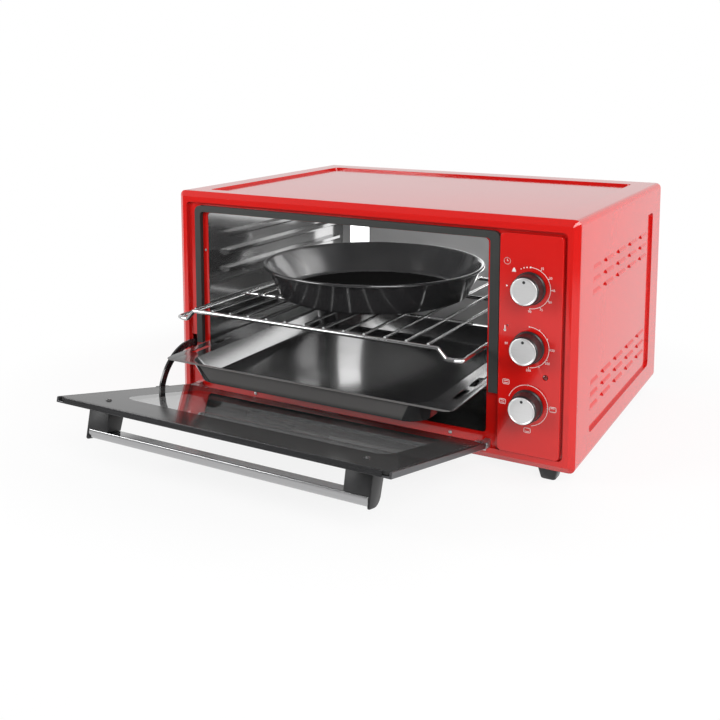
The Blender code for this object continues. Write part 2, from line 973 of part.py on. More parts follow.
# Heaters: a metal tube with a ceramic bush and a terminal pin at each end.
for end, y in zip(("front", "rear"), heater_ys):
    for level, z in (("top", heater_top_z), ("bottom", heater_bottom_z)):
        left, right = cavity_left - sheet - gap, cavity_right + sheet + gap
        turned(
            "heater_" + level + "_" + end,
            "x",
            (y, z),
            [
                (left - heater_bush_length - heater_tail, heater_tail_radius),
                (left - heater_bush_length, heater_tail_radius),
                (left - heater_bush_length, heater_radius * 1.5),
                (left, heater_radius * 1.5),
                (left, heater_radius),
                (right, heater_radius),
                (right, heater_radius * 1.5),
                (right + heater_bush_length, heater_radius * 1.5),
                (right + heater_bush_length, heater_tail_radius),
                (right + heater_bush_length + heater_tail, heater_tail_radius),
            ],
            steel,
            segments=12,
        )

# Thermostat bulb on the right wall, above the top runner.
turned(
    "thermostat_bulb",
    "y",
    (cavity_right - bulb_radius - gap, bulb_z),
    [
        (bulb_y, bulb_radius * 0.4),
        (bulb_y + bulb_radius, bulb_radius),
        (bulb_y + bulb_length - bulb_radius, bulb_radius),
        (bulb_y + bulb_length, bulb_radius * 0.4),
    ],
    steel,
    segments=12,
)

# Timer, thermostat and selector: a case, a threaded neck and a shaft each.
unit_front = pocket_depth + sheet + gap
for name, z, width_share, height_share, depth in zip(
    ("timer_unit", "thermostat_unit", "selector_unit"),
    knob_zs,
    unit_half_width_shares,
    unit_half_height_shares,
    unit_depths,
):
    half_x = (panel_right - panel_left) * width_share
    half_z = knob_pitch * height_share
    unit = prism(
        name,
        "y",
        rounded(knob_x - half_x, knob_x + half_x, z - half_z, z + half_z, half_x / 6, 2),
        unit_front,
        unit_front + depth,
        steel,
    )
    fuse(
        unit,
        turned(
            name + "_neck",
            "y",
            (knob_x, z),
            [
                (-panel_proud - shaft_reach, shaft_radius * 0.8),
                (-panel_proud - shaft_reach + shaft_chamfer, shaft_radius),
                (-panel_proud + gap, shaft_radius),
                (-panel_proud + gap, neck_radius),
                (unit_front + depth / 2, neck_radius),
            ],
            segments=16,
        ),
    )

# Pilot lamp.
turned(
    "pilot_lamp",
    "y",
    (lamp_x, lamp_z),
    [
        (-panel_proud - lamp_crown, lamp_radius * 0.6),
        (-panel_proud - lamp_crown * 0.4, lamp_radius),
        (unit_front + lamp_body, lamp_radius),
        (unit_front + lamp_body, lamp_radius * 0.5),
        (unit_front + lamp_body + lamp_lead, lamp_radius * 0.5),
    ],
    amber,
    segments=12,
)

# Door seal: a flat band round the top and down both sides.
outer = rounded(seal_left, seal_right, seal_end - seal_radius * 2, seal_top, seal_radius)
inner = rounded(
    seal_left + seal_left_width,
    seal_right - seal_right_width,
    seal_end - seal_radius * 2,
    seal_top - seal_top_width,
    seal_radius / 2,
)
top_outer = outer[5:15]
top_inner = inner[5:15]
seal_outline = (
    [(seal_right, seal_end)]
    + top_outer
    + [(seal_left, seal_end), (seal_left + seal_left_width, seal_end)]
    + top_inner[::-1]
    + [(seal_right - seal_right_width, seal_end)]
)
prism("door_seal", "y", seal_outline, seal_front, pocket_depth - gap, rubber)

# Small screws of the frame.
def screw(name, axis, centre, face, radius, parent=None, finish=steel):
    """A pan head: it lies on the face named and points along the axis."""
    head = radius * 0.55
    piece = turned(
        name,
        axis,
        centre,
        [
            (face - head, radius * 0.55),
            (face - head * 0.6, radius * 0.9),
            (face, radius),
        ],
        finish,
        parent,
        segments=12,
    )
    return piece


screw_face = pocket_depth - gap
rail_screw_z = cavity_floor - rail_screw_drop
flange_screw_x = (seal_left + seal_left_width + cavity_left + opening_lap) / 2
screw("rail_screw_left", "y", (door_left + rail_screw_left_inset, rail_screw_z), screw_face, screw_radius)
screw("rail_screw_right", "y", (door_right - rail_screw_right_inset, rail_screw_z), screw_face, screw_radius)
flange_screw_z = cavity_roof - flange_screw_drop
screw("flange_screw_left", "y", (flange_screw_x, flange_screw_z), screw_face, screw_radius * 0.7)

# Door: everything hangs from an empty on the hinge axis, laid out closed and then opened.
axis = bpy.data.objects.new("door_axis", None)
scene.collection.objects.link(axis)
axis.location = (0.0, door_axis_y, door_axis_z)

inner_face = door_half
outer_face = -door_half
pane_left = door_left + trim_wall + gap
pane_right = door_right - trim_wall - gap
pane_low = door_low + rail_height * 0.35 + gap
pane_high = door_high - trim_wall - gap
pane_outer = inner_face - glass_thickness
pane = prism(
    "door_glass",
    "y",
    rounded(pane_left, pane_right, pane_low, pane_high, trim_wall),
    pane_outer,
    inner_face,
    glass,
    axis,
)

for side, edge, inward in (("left", door_left, 1), ("right", door_right, -1)):
    outline = [
        (edge, outer_face),
        (edge, inner_face),
        (edge + inward * trim_wall, inner_face),
        (edge + inward * trim_wall, pane_outer - gap),
        (edge + inward * trim_lip, pane_outer - gap),
        (edge + inward * trim_lip, outer_face),
    ]
    prism("door_trim_" + side, "z", outline, door_low, door_high, alloy, axis)

rail_top = door_low + rail_height
trim_gap_left = door_left + trim_lip + gap
trim_gap_right = door_right - trim_lip - gap
top_outline = [
    (outer_face, door_high),
    (inner_face, door_high),
    (inner_face, pane_high + gap),
    (pane_outer - gap, pane_high + gap),
    (pane_outer - gap, door_high - trim_lip * 1.6),
    (outer_face, door_high - trim_lip * 1.6),
]
prism("door_top_trim", "x", top_outline, trim_gap_left, trim_gap_right, black, axis)
rail_outline = [
    (outer_face, door_low),
    (inner_face, door_low),
    (inner_face, pane_low - gap),
    (pane_outer - gap, pane_low - gap),
    (pane_outer - gap, rail_top),
    (outer_face, rail_top),
]
prism("door_hinge_rail", "x", rail_outline, trim_gap_left, trim_gap_right, black, axis)

# Hinge pins: each passes through a tab under the door's corner.
for side, edge, out in (("left", door_left, -1), ("right", door_right, 1)):
    x0 = edge - out * (tab_inset + tab_width)
    x1 = edge - out * tab_inset
    tab = box(
        "hinge_tab_" + side,
        *sorted((x0, x1)),
        -tab_half,
        tab_half,
        -tab_half,
        door_low - gap,
        steel,
        axis,
    )
    pin = turned(
        "hinge_pin_tool_" + side,
        "x",
        (0.0, 0.0),
        [
            (at, pin_radius)
            for at in sorted((x0 + out * pin_in_tab, edge + out * pin_past_edge))
        ],
        None,
        axis,
        segments=16,
    )
    fuse(tab, pin)

# Bearing blocks in the sunken field hold the pins.
for side, edge, out in (("left", door_left, -1), ("right", door_right, 1)):
    x0 = edge - out * (bearing_inset + bearing_width)
    x1 = edge - out * bearing_inset
    bearing = box(
        "hinge_bearing_" + side,
        *sorted((x0, x1)),
        door_axis_y - pin_radius - bearing_wall,
        pocket_depth - gap,
        case_bottom + pocket_bottom_rim + gap,
        door_axis_z + pin_radius + bearing_wall,
        steel,
    )
    bm = bmesh.new()
    bore_ends = sorted((x0 - out * tool_reach, x1 + out * tool_reach))
    disc_into(bm, "x", (door_axis_y, door_axis_z), pin_radius + bore_clearance, *bore_ends, 16)
    cut(bearing, add("bearing_bore_" + side, mesh_from("bearing_bore_" + side, bm)))

# Door arm on the left: an arc about the hinge axis that runs through the slot of the frame.
arc = []
for i in range(arm_steps + 1):
    a = math.radians(arm_start_deg + (arm_sweep_deg - arm_start_deg) * i / arm_steps)
    arc.append((arm_outer * math.sin(a), arm_outer * math.cos(a)))
for i in range(arm_steps, -1, -1):
    a = math.radians(arm_start_deg + (arm_sweep_deg - arm_start_deg) * i / arm_steps)
    arc.append((arm_inner * math.sin(a), arm_inner * math.cos(a)))
arm = prism("hinge_arm", "x", arc, arm_left, arm_right, black, axis)
foot_tool = box(
    "arm_foot",
    arm_left,
    door_left - gap,
    -arm_foot_half,
    arm_foot_half,
    arm_inner - arm_foot_over,
    arm_outer + arm_foot_over,
    None,
    axis,
)
fuse(arm, foot_tool)

# Handle: a flat bar lies on two brackets, between their end caps. Its screws show on the inside of the glass.
bracket_root_high = door_high - bracket_drop
bracket_root_low = bracket_root_high - bracket_height
bar_high = door_high - bar_drop
bar_low = bar_high - bar_height
bar_left = door_left + bracket_inset + bar_end_cap
bar_right = door_right - bracket_inset - bar_end_cap
w_face = pane_outer - gap
for side, x0, x1 in (
    ("left", door_left + bracket_inset, door_left + bracket_inset + bracket_width),
    ("right", door_right - bracket_inset - bracket_width, door_right - bracket_inset),
):
    outline = [
        (w_face - bracket_reach * out_share, bracket_root_low + bracket_height * up_share)
        for out_share, up_share in bracket_profile_shares
    ]
    bracket = prism("handle_bracket_" + side, "x", outline, x0, x1, black, axis)
    soften(bracket, bracket_round)

round_half = []
for i in range(bar_arc_steps + 1):
    a = math.pi / 2 * i / bar_arc_steps
    out = bar_outer - bar_radius * (1 - math.sin(a))
    round_half.append((out, bar_radius * (1 - math.cos(a))))
section = [
    (-bar_inner, bar_low + bar_edge),
    (-bar_inner, bar_high - bar_edge),
    (-bar_inner - bar_edge, bar_high),
]
section += [(-w, bar_high - v) for w, v in round_half]
section += [(-w, bar_low + v) for w, v in reversed(round_half)]
section.append((-bar_inner - bar_edge, bar_low))
prism("handle_bar", "x", section, bar_left, bar_right, alloy, axis)
for side, x0, x1 in (
    ("left", bar_left - gap, door_left + bracket_inset + bracket_width + tool_reach),
    ("right", door_right - bracket_inset - bracket_width - tool_reach, bar_right + gap),
):
    tool = box(
        "bar_space_" + side,
        x0,
        x1,
        w_face - bracket_reach - tool_reach,
        -bar_inner + gap,
        bracket_root_low - tool_reach,
        bracket_root_high + tool_reach,
        None,
        axis,
    )
    cut(bpy.data.objects["handle_bracket_" + side], tool)

for side, x in (
    ("left", door_left + bracket_inset + bracket_width / 2),
    ("right", door_right - bracket_inset - bracket_width / 2),
):
    z = (bracket_root_low + bracket_root_high) / 2
    turned(
        "handle_screw_" + side,
        "y",
        (x, z),
        [
            (inner_face + gap, handle_screw_radius),
            (inner_face + gap + handle_screw_head * 0.57, handle_screw_radius * 0.9),
            (inner_face + gap + handle_screw_head, handle_screw_radius * 0.55),
        ],
        steel,
        axis,
        segments=14,
    )

axis.rotation_euler = (math.radians(door_open_deg), 0.0, 0.0)

# Wire rack: a bent frame wire, a deck of long wires and two wires across below them.


def front_step(side, y, toward):
    """The bent corner of the frame wire, from the side rail to the raised deck."""
    x = rack_left if side < 0 else rack_right
    inward = -side
    return [
        (x, y + toward * tip_dip, rail_z),
        (x + inward * step_in * 0.5, y, rail_z),
        (x + inward * step_in, y, rail_z),
        (x + inward * (step_in + step_run), y, deck_z),
    ]


left_front = front_step(-1, rack_front, 1)
right_front = front_step(1, rack_front, 1)
left_back = front_step(-1, rack_back, -1)
right_back = front_step(1, rack_back, -1)
loop = left_front + right_front[::-1] + right_back + left_back[::-1]
rack = wire("wire_rack", loop, rail_radius, True, chrome)
cross = []
for i in range(wire_count):
    x = wire_first + (wire_last - wire_first) * i / (wire_count - 1)
    cross.append((x, rack_front - wire_radius * 0.4, rack_back + wire_radius * 0.4))
bm = bmesh.new()
for x, y0, y1 in cross:
    disc_into(bm, "y", (x, wire_z), wire_radius, y0, y1, 8)
fuse(rack, add("rack_wires", mesh_from("rack_wires", bm)))
bm = bmesh.new()
support_radius = rail_radius * 0.9
support_z = deck_z + rail_radius - support_radius
for share in support_shares:
    y = rack_front + rack_length * share
    ends = (wire_first - rail_radius * 2, wire_last + rail_radius * 2)
    disc_into(bm, "x", (y, support_z), support_radius, *ends, 8)
fuse(rack, add("rack_supports", mesh_from("rack_supports", bm)))

# Baking tray: flange, sloped walls and floor drawn from one sheet.


def tray_ring(side_in, end_in, radius):
    """Outline of the tray, set in from its sides and its ends."""
    return rounded(tray_left + side_in, tray_right - side_in, tray_front + end_in, tray_back - end_in, radius)


def well_ring(inward, radius):
    """Outline of the tray's well, set in from its upper edge."""
    return tray_ring(tray_side_flange + inward, tray_end_flange + inward, radius)


tray_inner_round = tray_floor_round + tray_sheet
tray = loft(
    "baking_tray",
    "z",
    [
        (tray_bottom_z, well_ring(tray_slope + tray_floor_round, tray_well_radius - tray_floor_round)),
        (tray_bottom_z + tray_round_rise, well_ring(tray_slope, tray_well_radius)),
        (tray_flange_z - tray_sheet, well_ring(0.0, tray_well_radius)),
        (tray_flange_z - tray_sheet, tray_ring(tray_hem, tray_hem, tray_radius - tray_hem)),
        (tray_flange_z - tray_sheet / 2, tray_ring(0.0, 0.0, tray_radius)),
        (tray_flange_z, tray_ring(tray_hem, tray_hem, tray_radius - tray_hem)),
        (tray_flange_z, well_ring(tray_sheet, tray_well_radius)),
        (
            tray_bottom_z + tray_round_rise + tray_sheet * 0.8,
            well_ring(tray_slope + tray_sheet, tray_well_radius),
        ),
        (
            tray_bottom_z + tray_sheet,
            well_ring(tray_slope + tray_inner_round, tray_well_radius - tray_inner_round),
        ),
    ],
    enamel,
)
bm = bmesh.new()
for start in tray_slot_starts:
    for side in (-1, 1):
        x = tray_left + tray_side_flange * 0.45 if side < 0 else tray_right - tray_side_flange * 0.45
        loft_into(
            bm,
            "z",
            [
                (
                    at,
                    rounded(
                        x - tray_slot_width / 2,
                        x + tray_slot_width / 2,
                        tray_front + start,
                        tray_front + start + tray_slot_length,
                        tray_slot_width * 0.3,
                        2,
                    ),
                )
                for at in (tray_flange_z - tool_reach, tray_flange_z + tool_reach)
            ],
        )
cut(tray, add("tray_slots", mesh_from("tray_slots", bm)))

# Round pan with a rolled rim.
pan_bottom_z = wire_z + wire_radius + gap
pan_top_z = pan_bottom_z + pan_height
turned(
    "round_pan",
    "z",
    (pan_x, pan_y),
    [
        (pan_bottom_z, pan_floor_radius - pan_floor_round),
        (pan_bottom_z + pan_round_rise, pan_floor_radius),
        (pan_top_z - pan_roll * 2, pan_rim_radius - pan_roll * 2),
        (pan_top_z - pan_roll * 1.6, pan_rim_radius - pan_roll * 0.6),
        (pan_top_z - pan_roll * 0.8, pan_rim_radius),
        (pan_top_z - pan_roll * 0.2, pan_rim_radius - pan_roll * 0.3),
        (pan_top_z, pan_rim_radius - pan_roll * 0.9),
        (pan_top_z - pan_roll * 0.4, pan_rim_radius - pan_roll * 1.8),
        (pan_bottom_z + pan_round_rise + pan_sheet * 0.83, pan_floor_radius - pan_sheet * 1.4),
        (pan_bottom_z + pan_sheet, pan_floor_radius - pan_floor_round - pan_sheet * 0.83),
    ],
    enamel,
    segments=48,
)

# Knobs: a skirted body with a bore, and a silver face let into it.
for name, z in zip(("timer", "thermostat", "selector"), knob_zs):
    back_face = -panel_proud - gap * 2
    front_face = back_face - knob_height
    body = turned(
        name + "_knob",
        "y",
        (knob_x, z),
        [
            (front_face, knob_face_radius + knob_lip),
            (front_face + knob_chamfer, knob_radius - knob_chamfer),
            (front_face + knob_shoulder, knob_radius - knob_taper),
            (back_face - knob_skirt_height, knob_radius - knob_waist),
            (back_face - knob_skirt_height + knob_waist, knob_radius),
            (back_face, knob_radius),
        ],
        black,
        segments=32,
    )
    bm = bmesh.new()
    bore_end = -panel_proud - shaft_reach - gap
    face_seat = front_face + knob_face_proud
    disc_into(bm, "y", (knob_x, z), shaft_radius + bore_clearance, bore_end, tool_reach, 16)
    disc_into(bm, "y", (knob_x, z), knob_face_radius, front_face - tool_reach, face_seat, 32)
    cut(body, add(name + "_knob_bore", mesh_from(name + "_knob_bore", bm)))
    face = turned(
        name + "_knob_face",
        "y",
        (knob_x, z),
        [
            (front_face - knob_face_proud * 0.6, knob_face_radius - knob_face_round),
            (front_face - knob_face_proud * 0.3, knob_face_radius - knob_face_round * 0.4),
            (front_face + knob_face_proud * 0.2, knob_face_radius - gap),
            (front_face + knob_face_proud - gap, knob_face_radius - gap),
        ],
        silver,
        segments=32,
    )

# Move everything so that the origin is the middle of the bottom of the resting object.
bpy.context.view_layer.update()
graph = bpy.context.evaluated_depsgraph_get()
low = [math.inf] * 3
high = [-math.inf] * 3
for obj in made:
    evaluated = obj.evaluated_get(graph)
    mesh = evaluated.to_mesh()
    for vertex in mesh.vertices:
        point = evaluated.matrix_world @ vertex.co
        for k in range(3):
            low[k] = min(low[k], point[k])
            high[k] = max(high[k], point[k])
    evaluated.to_mesh_clear()
shift = Vector((-(low[0] + high[0]) / 2, -(low[1] + high[1]) / 2, -low[2]))
for obj in list(scene.collection.objects) + list(tools.objects):
    if obj.parent is None:
        obj.location = obj.location + shift
print("shift", [round(v, 7) for v in shift])
print("low", [round(v, 6) for v in low], "high", [round(v, 6) for v in high])
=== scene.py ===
"""Looks of a countertop oven with a drop-down glass door, a wire rack, a baking tray and a round pan.

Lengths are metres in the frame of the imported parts: +Z is up, -Y is the front and +X is the side with the
dials. Each sub-assembly is a class that holds its own sizes, builds its meshes and dresses them.
"""

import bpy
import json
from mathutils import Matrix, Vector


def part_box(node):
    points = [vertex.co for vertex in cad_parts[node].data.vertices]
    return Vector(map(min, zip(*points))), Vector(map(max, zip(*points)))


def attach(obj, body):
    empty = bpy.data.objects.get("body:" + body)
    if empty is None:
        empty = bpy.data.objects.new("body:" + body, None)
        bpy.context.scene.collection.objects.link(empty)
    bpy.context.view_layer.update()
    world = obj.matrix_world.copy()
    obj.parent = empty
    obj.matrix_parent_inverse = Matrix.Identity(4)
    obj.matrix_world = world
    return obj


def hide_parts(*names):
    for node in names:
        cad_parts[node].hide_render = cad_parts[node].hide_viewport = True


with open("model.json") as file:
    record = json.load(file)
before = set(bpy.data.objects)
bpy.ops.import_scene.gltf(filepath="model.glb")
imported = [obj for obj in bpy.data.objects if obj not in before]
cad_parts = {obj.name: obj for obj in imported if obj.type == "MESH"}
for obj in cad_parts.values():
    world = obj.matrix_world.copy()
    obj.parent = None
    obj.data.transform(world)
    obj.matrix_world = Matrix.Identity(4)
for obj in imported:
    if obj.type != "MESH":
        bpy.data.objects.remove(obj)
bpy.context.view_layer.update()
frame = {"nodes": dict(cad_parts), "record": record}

import json
import logging
import math
from dataclasses import dataclass, replace
from enum import Enum
from typing import Callable, Iterable, NamedTuple, Optional, Sequence, Union

import bmesh
import bpy
from mathutils import Matrix, Vector

log = logging.getLogger("oven")

Colour = tuple[float, float, float]
Point = tuple[float, float, float]
Flat = tuple[float, float]
Value = Union["Signal", float]
Socket = bpy.types.NodeSocket

ORIGIN: Point = (0.0, 0.0, 0.0)
RIGHT: Point = (1.0, 0.0, 0.0)
BACKWARD: Point = (0.0, 1.0, 0.0)
FORWARD: Point = (0.0, -1.0, 0.0)
UP: Point = (0.0, 0.0, 1.0)
DOWN: Point = (0.0, 0.0, -1.0)


class Body(str, Enum):
    """The bodies that pieces ride on."""

    CASE = "case"
    DOOR = "door"
    RACK = "rack"
    TRAY = "tray"
    PAN = "pan"
    TIMER = "timer_dial"
    THERMOSTAT = "thermostat_dial"
    SELECTOR = "selector_dial"


class Grain(NamedTuple):
    """A noise over a surface: cells per metre, octaves and factors along the axes."""

    scale: float
    detail: float = 3.0
    stretch: Point = (1.0, 1.0, 1.0)


# Shader maths.


class Signal:
    """One socket of a node tree, with arithmetic that adds Math nodes."""

    def __init__(self, tree: bpy.types.NodeTree, socket: Socket) -> None:
        """Keeps the tree and the socket."""
        self.tree = tree
        self.socket = socket

    def math(self, operation: str, *others: Value) -> "Signal":
        """Adds one Math node.

        Args:
            operation: Name of the operation.
            others: The operands after this one.

        Returns:
            The result.
        """
        node = self.tree.nodes.new("ShaderNodeMath")
        node.operation = operation
        for place, value in enumerate((self, *others)):
            if isinstance(value, Signal):
                self.tree.links.new(value.socket, node.inputs[place])
            else:
                node.inputs[place].default_value = value
        return Signal(self.tree, node.outputs[0])

    def __add__(self, other: Value) -> "Signal":
        """Sum."""
        return self.math("ADD", other)

    __radd__ = __add__

    def __sub__(self, other: Value) -> "Signal":
        """Difference."""
        return self.math("SUBTRACT", other)

    def __rsub__(self, other: float) -> "Signal":
        """Difference from a plain number."""
        return self.math("MULTIPLY", -1.0).math("ADD", other)

    def __mul__(self, other: Value) -> "Signal":
        """Product."""
        return self.math("MULTIPLY", other)

    __rmul__ = __mul__

    def __abs__(self) -> "Signal":
        """Size without its sign."""
        return self.math("ABSOLUTE")

    def lowest(self, other: Value) -> "Signal":
        """The smaller of two values."""
        return self.math("MINIMUM", other)

    def highest(self, other: Value) -> "Signal":
        """The larger of two values."""
        return self.math("MAXIMUM", other)

    def ramp(self, start: float, end: float, low: float = 0.0, high: float = 1.0) -> "Signal":
        """Eases from one value to another.

        Args:
            start: Input at which the result is low.
            end: Input at which the result is high.
            low: Result up to start.
            high: Result from end on.

        Returns:
            The eased value.
        """
        node = self.tree.nodes.new("ShaderNodeMapRange")
        node.interpolation_type = "SMOOTHSTEP"
        self.tree.links.new(self.socket, node.inputs[0])
        for place, value in enumerate((start, end, low, high), start=1):
            node.inputs[place].default_value = value
        return Signal(self.tree, node.outputs[0])


class Net:
    """The node tree of one material or of the world."""

    def __init__(self, tree: bpy.types.NodeTree) -> None:
        """Empties the tree."""
        self.tree = tree
        tree.nodes.clear()

    def node(
        self, kind: str, settings: Optional[dict] = None, inputs: Optional[dict] = None
    ) -> bpy.types.Node:
        """Adds one node.

        Args:
            kind: Name of the node's class.
            settings: Its properties.
            inputs: Its inputs by name or place, each a signal, a socket or a plain value.

        Returns:
            The node.
        """
        node = self.tree.nodes.new(kind)
        for name, value in (settings or {}).items():
            setattr(node, name, value)
        for name, value in (inputs or {}).items():
            if isinstance(value, Signal):
                self.tree.links.new(value.socket, node.inputs[name])
            elif isinstance(value, Socket):
                self.tree.links.new(value, node.inputs[name])
            else:
                node.inputs[name].default_value = value
        return node

    def signal(self, socket: Socket) -> Signal:
        """Wraps a socket."""
        return Signal(self.tree, socket)

    def place(self) -> Socket:
        """Where the shaded point is, in the piece's own coordinates."""
        return self.node("ShaderNodeTexCoord").outputs["Object"]

    def noise(self, grain: Grain) -> Signal:
        """Soft noise about 0.5.

        Args:
            grain: Its scale, detail and stretch.

        Returns:
            The noise.
        """
        mapping = self.node("ShaderNodeMapping", inputs={"Vector": self.place(), "Scale": grain.stretch})
        inputs = {"Vector": mapping.outputs[0], "Scale": grain.scale, "Detail": grain.detail}
        return self.signal(self.node("ShaderNodeTexNoise", inputs=inputs).outputs[0])

    def cells(self, scale: float) -> Signal:
        """A random value for each cell of a Voronoi pattern.

        Args:
            scale: Cells per metre.

        Returns:
            The value.
        """
        node = self.node("ShaderNodeTexVoronoi", inputs={"Vector": self.place(), "Scale": scale})
        split = self.node("ShaderNodeSeparateColor", inputs={0: node.outputs["Color"]})
        return self.signal(split.outputs[0])

    def along(self, direction: Point, origin: Point = ORIGIN) -> Signal:
        """Distance along a direction from an origin, in the piece's coordinates.

        Args:
            direction: Unit vector.
            origin: Point where the distance is 0.

        Returns:
            The distance.
        """
        away = self.node("ShaderNodeVectorMath", {"operation": "SUBTRACT"}, {0: self.place(), 1: origin})
        inputs = {0: away.outputs[0], 1: direction}
        dot = self.node("ShaderNodeVectorMath", {"operation": "DOT_PRODUCT"}, inputs)
        return self.signal(dot.outputs["Value"])

    def away(self, centre: Point = ORIGIN) -> Signal:
        """Distance from an upright axis through a point."""
        x, y = (self.along(way, centre) for way in (RIGHT, BACKWARD))
        return ((x * x) + (y * y)).math("SQRT")

    def tint(self, share: Signal, dark: Colour, light: Colour) -> Socket:
        """A colour between two others.

        Args:
            share: 0 for the dark colour and 1 for the light one.
            dark: The first colour.
            light: The second colour.

        Returns:
            The colour.
        """
        node = self.node("ShaderNodeMix", {"data_type": "RGBA"}, {0: share})
        node.inputs[6].default_value = (*dark, 1.0)
        node.inputs[7].default_value = (*light, 1.0)
        return node.outputs[2]

    def bump(self, height: Signal, distance: float) -> Socket:
        """Small relief for a Normal input."""
        return self.node("ShaderNodeBump", inputs={"Height": height, "Distance": distance}).outputs[0]

    def principled(self, **inputs: object) -> Socket:
        """A Principled shader.

        Args:
            inputs: Its inputs by name, with underscores for spaces.

        Returns:
            The shader.
        """
        named = {name.replace("_", " "): value for name, value in inputs.items()}
        if isinstance(named["Base Color"], tuple):
            named["Base Color"] = (*named["Base Color"], 1.0)
        return self.node("ShaderNodeBsdfPrincipled", inputs=named).outputs[0]

    def emission(self, strength: float) -> Socket:
        """A white glow."""
        return self.node("ShaderNodeEmission", inputs={0: (1.0, 1.0, 1.0, 1.0), 1: strength}).outputs[0]

    def mixed(self, share: Signal, first: Socket, second: Socket) -> Socket:
        """Two shaders mixed."""
        return self.node("ShaderNodeMixShader", inputs={0: share, 1: first, 2: second}).outputs[0]

    def surface(self, shader: Socket) -> None:
        """Puts the shader on the surface."""
        self.node("ShaderNodeOutputMaterial", inputs={"Surface": shader})


# Finishes.


def grey(level: float) -> Colour:
    """A neutral colour."""
    return level, level, level


@dataclass(frozen=True)
class Finish:
    """A finish. Each subclass paints one material, which is made once."""

    name: str
    slot: Optional[str]

    def paint(self, net: Net) -> Socket:
        """Builds the shader."""
        raise NotImplementedError(self.name)

    def material(self) -> bpy.types.Material:
        """The material, made at its first use.

        Returns:
            The material.
        """
        found = bpy.data.materials.get("look_" + self.name)
        if found is None:
            found = bpy.data.materials.new("look_" + self.name)
            found.use_nodes = True
            net = Net(found.node_tree)
            net.surface(self.paint(net))
        return found


@dataclass(frozen=True)
class Mottled(Finish):
    """A finish whose colour and roughness follow one pattern, with or without a fine relief.

    Its roughness starts at smooth and grows with the pattern by spread, and with the relief by relief_spread.
    """

    dark: Colour
    light: Colour
    pattern: Grain
    smooth: float
    spread: float = 0.1
    metal: float = 0.0
    relief: Optional[Grain] = None
    relief_spread: float = 0.0
    height: float = 0.0
    ior: float = 1.5
    specular: float = 0.5
    coat: float = 0.0
    coat_roughness: float = 0.03

    def patches(self, net: Net) -> Signal:
        """The pattern."""
        return net.noise(self.pattern)

    def paint(self, net: Net) -> Socket:
        """Builds the shader.

        Args:
            net: The material's node tree.

        Returns:
            The shader.
        """
        patches = self.patches(net)
        inputs = {
            "Base_Color": net.tint(patches, self.dark, self.light),
            "Roughness": (patches * self.spread) + self.smooth if self.spread else self.smooth,
            "Metallic": self.metal,
            "IOR": self.ior,
            "Specular_IOR_Level": self.specular,
            "Coat_Weight": self.coat,
            "Coat_Roughness": self.coat_roughness,
        }
        if self.relief:
            relief = net.noise(self.relief)
            inputs["Normal"] = net.bump(relief, self.height)
            if self.relief_spread:
                inputs["Roughness"] += relief * self.relief_spread
        return net.principled(**inputs)


@dataclass(frozen=True)
class Spangled(Mottled):
    """A finish whose pattern is one random value for each spangle."""

    def patches(self, net: Net) -> Signal:
        """The pattern."""
        return net.cells(self.pattern.scale)


@dataclass(frozen=True)
class RedEnamel(Finish):
    """Glossy baked enamel with a faint orange peel."""

    name: str = "red_enamel"
    slot: Optional[str] = "red_enamel"
    deep: Colour = (0.50, 0.0045, 0.003)
    bright: Colour = (0.58, 0.007, 0.0045)
    patches: Grain = Grain(9.0, 4.0)
    peel: Grain = Grain(420.0, 2.0)
    peel_height: float = 0.000012
    smooth: float = 0.1248
    rough: float = 0.1352

    def paint(self, net: Net) -> Socket:
        """Builds the shader.

        Args:
            net: The material's node tree.

        Returns:
            The shader.
        """
        patches = net.noise(self.patches)
        return net.principled(
            Base_Color=net.tint(patches, self.deep, self.bright),
            Roughness=patches.ramp(0.3, 0.7, self.smooth, self.rough),
            Normal=net.bump(net.noise(self.peel), self.peel_height),
            Coat_Weight=0.42,
            Coat_Roughness=0.04,
        )


@dataclass(frozen=True)
class Parted(Finish):
    """Two finishes on one sheet. Each subclass has a mask that is 1 where the second one shows."""

    first: Mottled
    second: Mottled

    def mask(self, net: Net) -> Signal:
        """Where the second finish shows."""
        raise NotImplementedError(self.name)

    def paint(self, net: Net) -> Socket:
        """Builds the shader."""
        return net.mixed(self.mask(net), self.first.paint(net), self.second.paint(net))


@dataclass(frozen=True)
class Beyond(Parted):
    """Two finishes that meet at a plane, with the second one beyond it."""

    edge: Point
    out: Point
    blend: float

    def mask(self, net: Net) -> Signal:
        """1 beyond the plane."""
        return net.along(self.out, self.edge).ramp(-self.blend, self.blend)


@dataclass(frozen=True)
class OnFloor(Parted):
    """Two finishes of a round dish, with the second one on its flat floor."""

    centre: Point
    radius: float
    blend: float = 0.002
    skin: Flat = (0.0003, 0.0008)

    def mask(self, net: Net) -> Signal:
        """1 on the floor's upper side."""
        inside = net.away(self.centre).ramp(self.radius - self.blend, self.radius + self.blend, 1.0, 0.0)
        return inside * net.along(UP, self.centre).ramp(*self.skin)


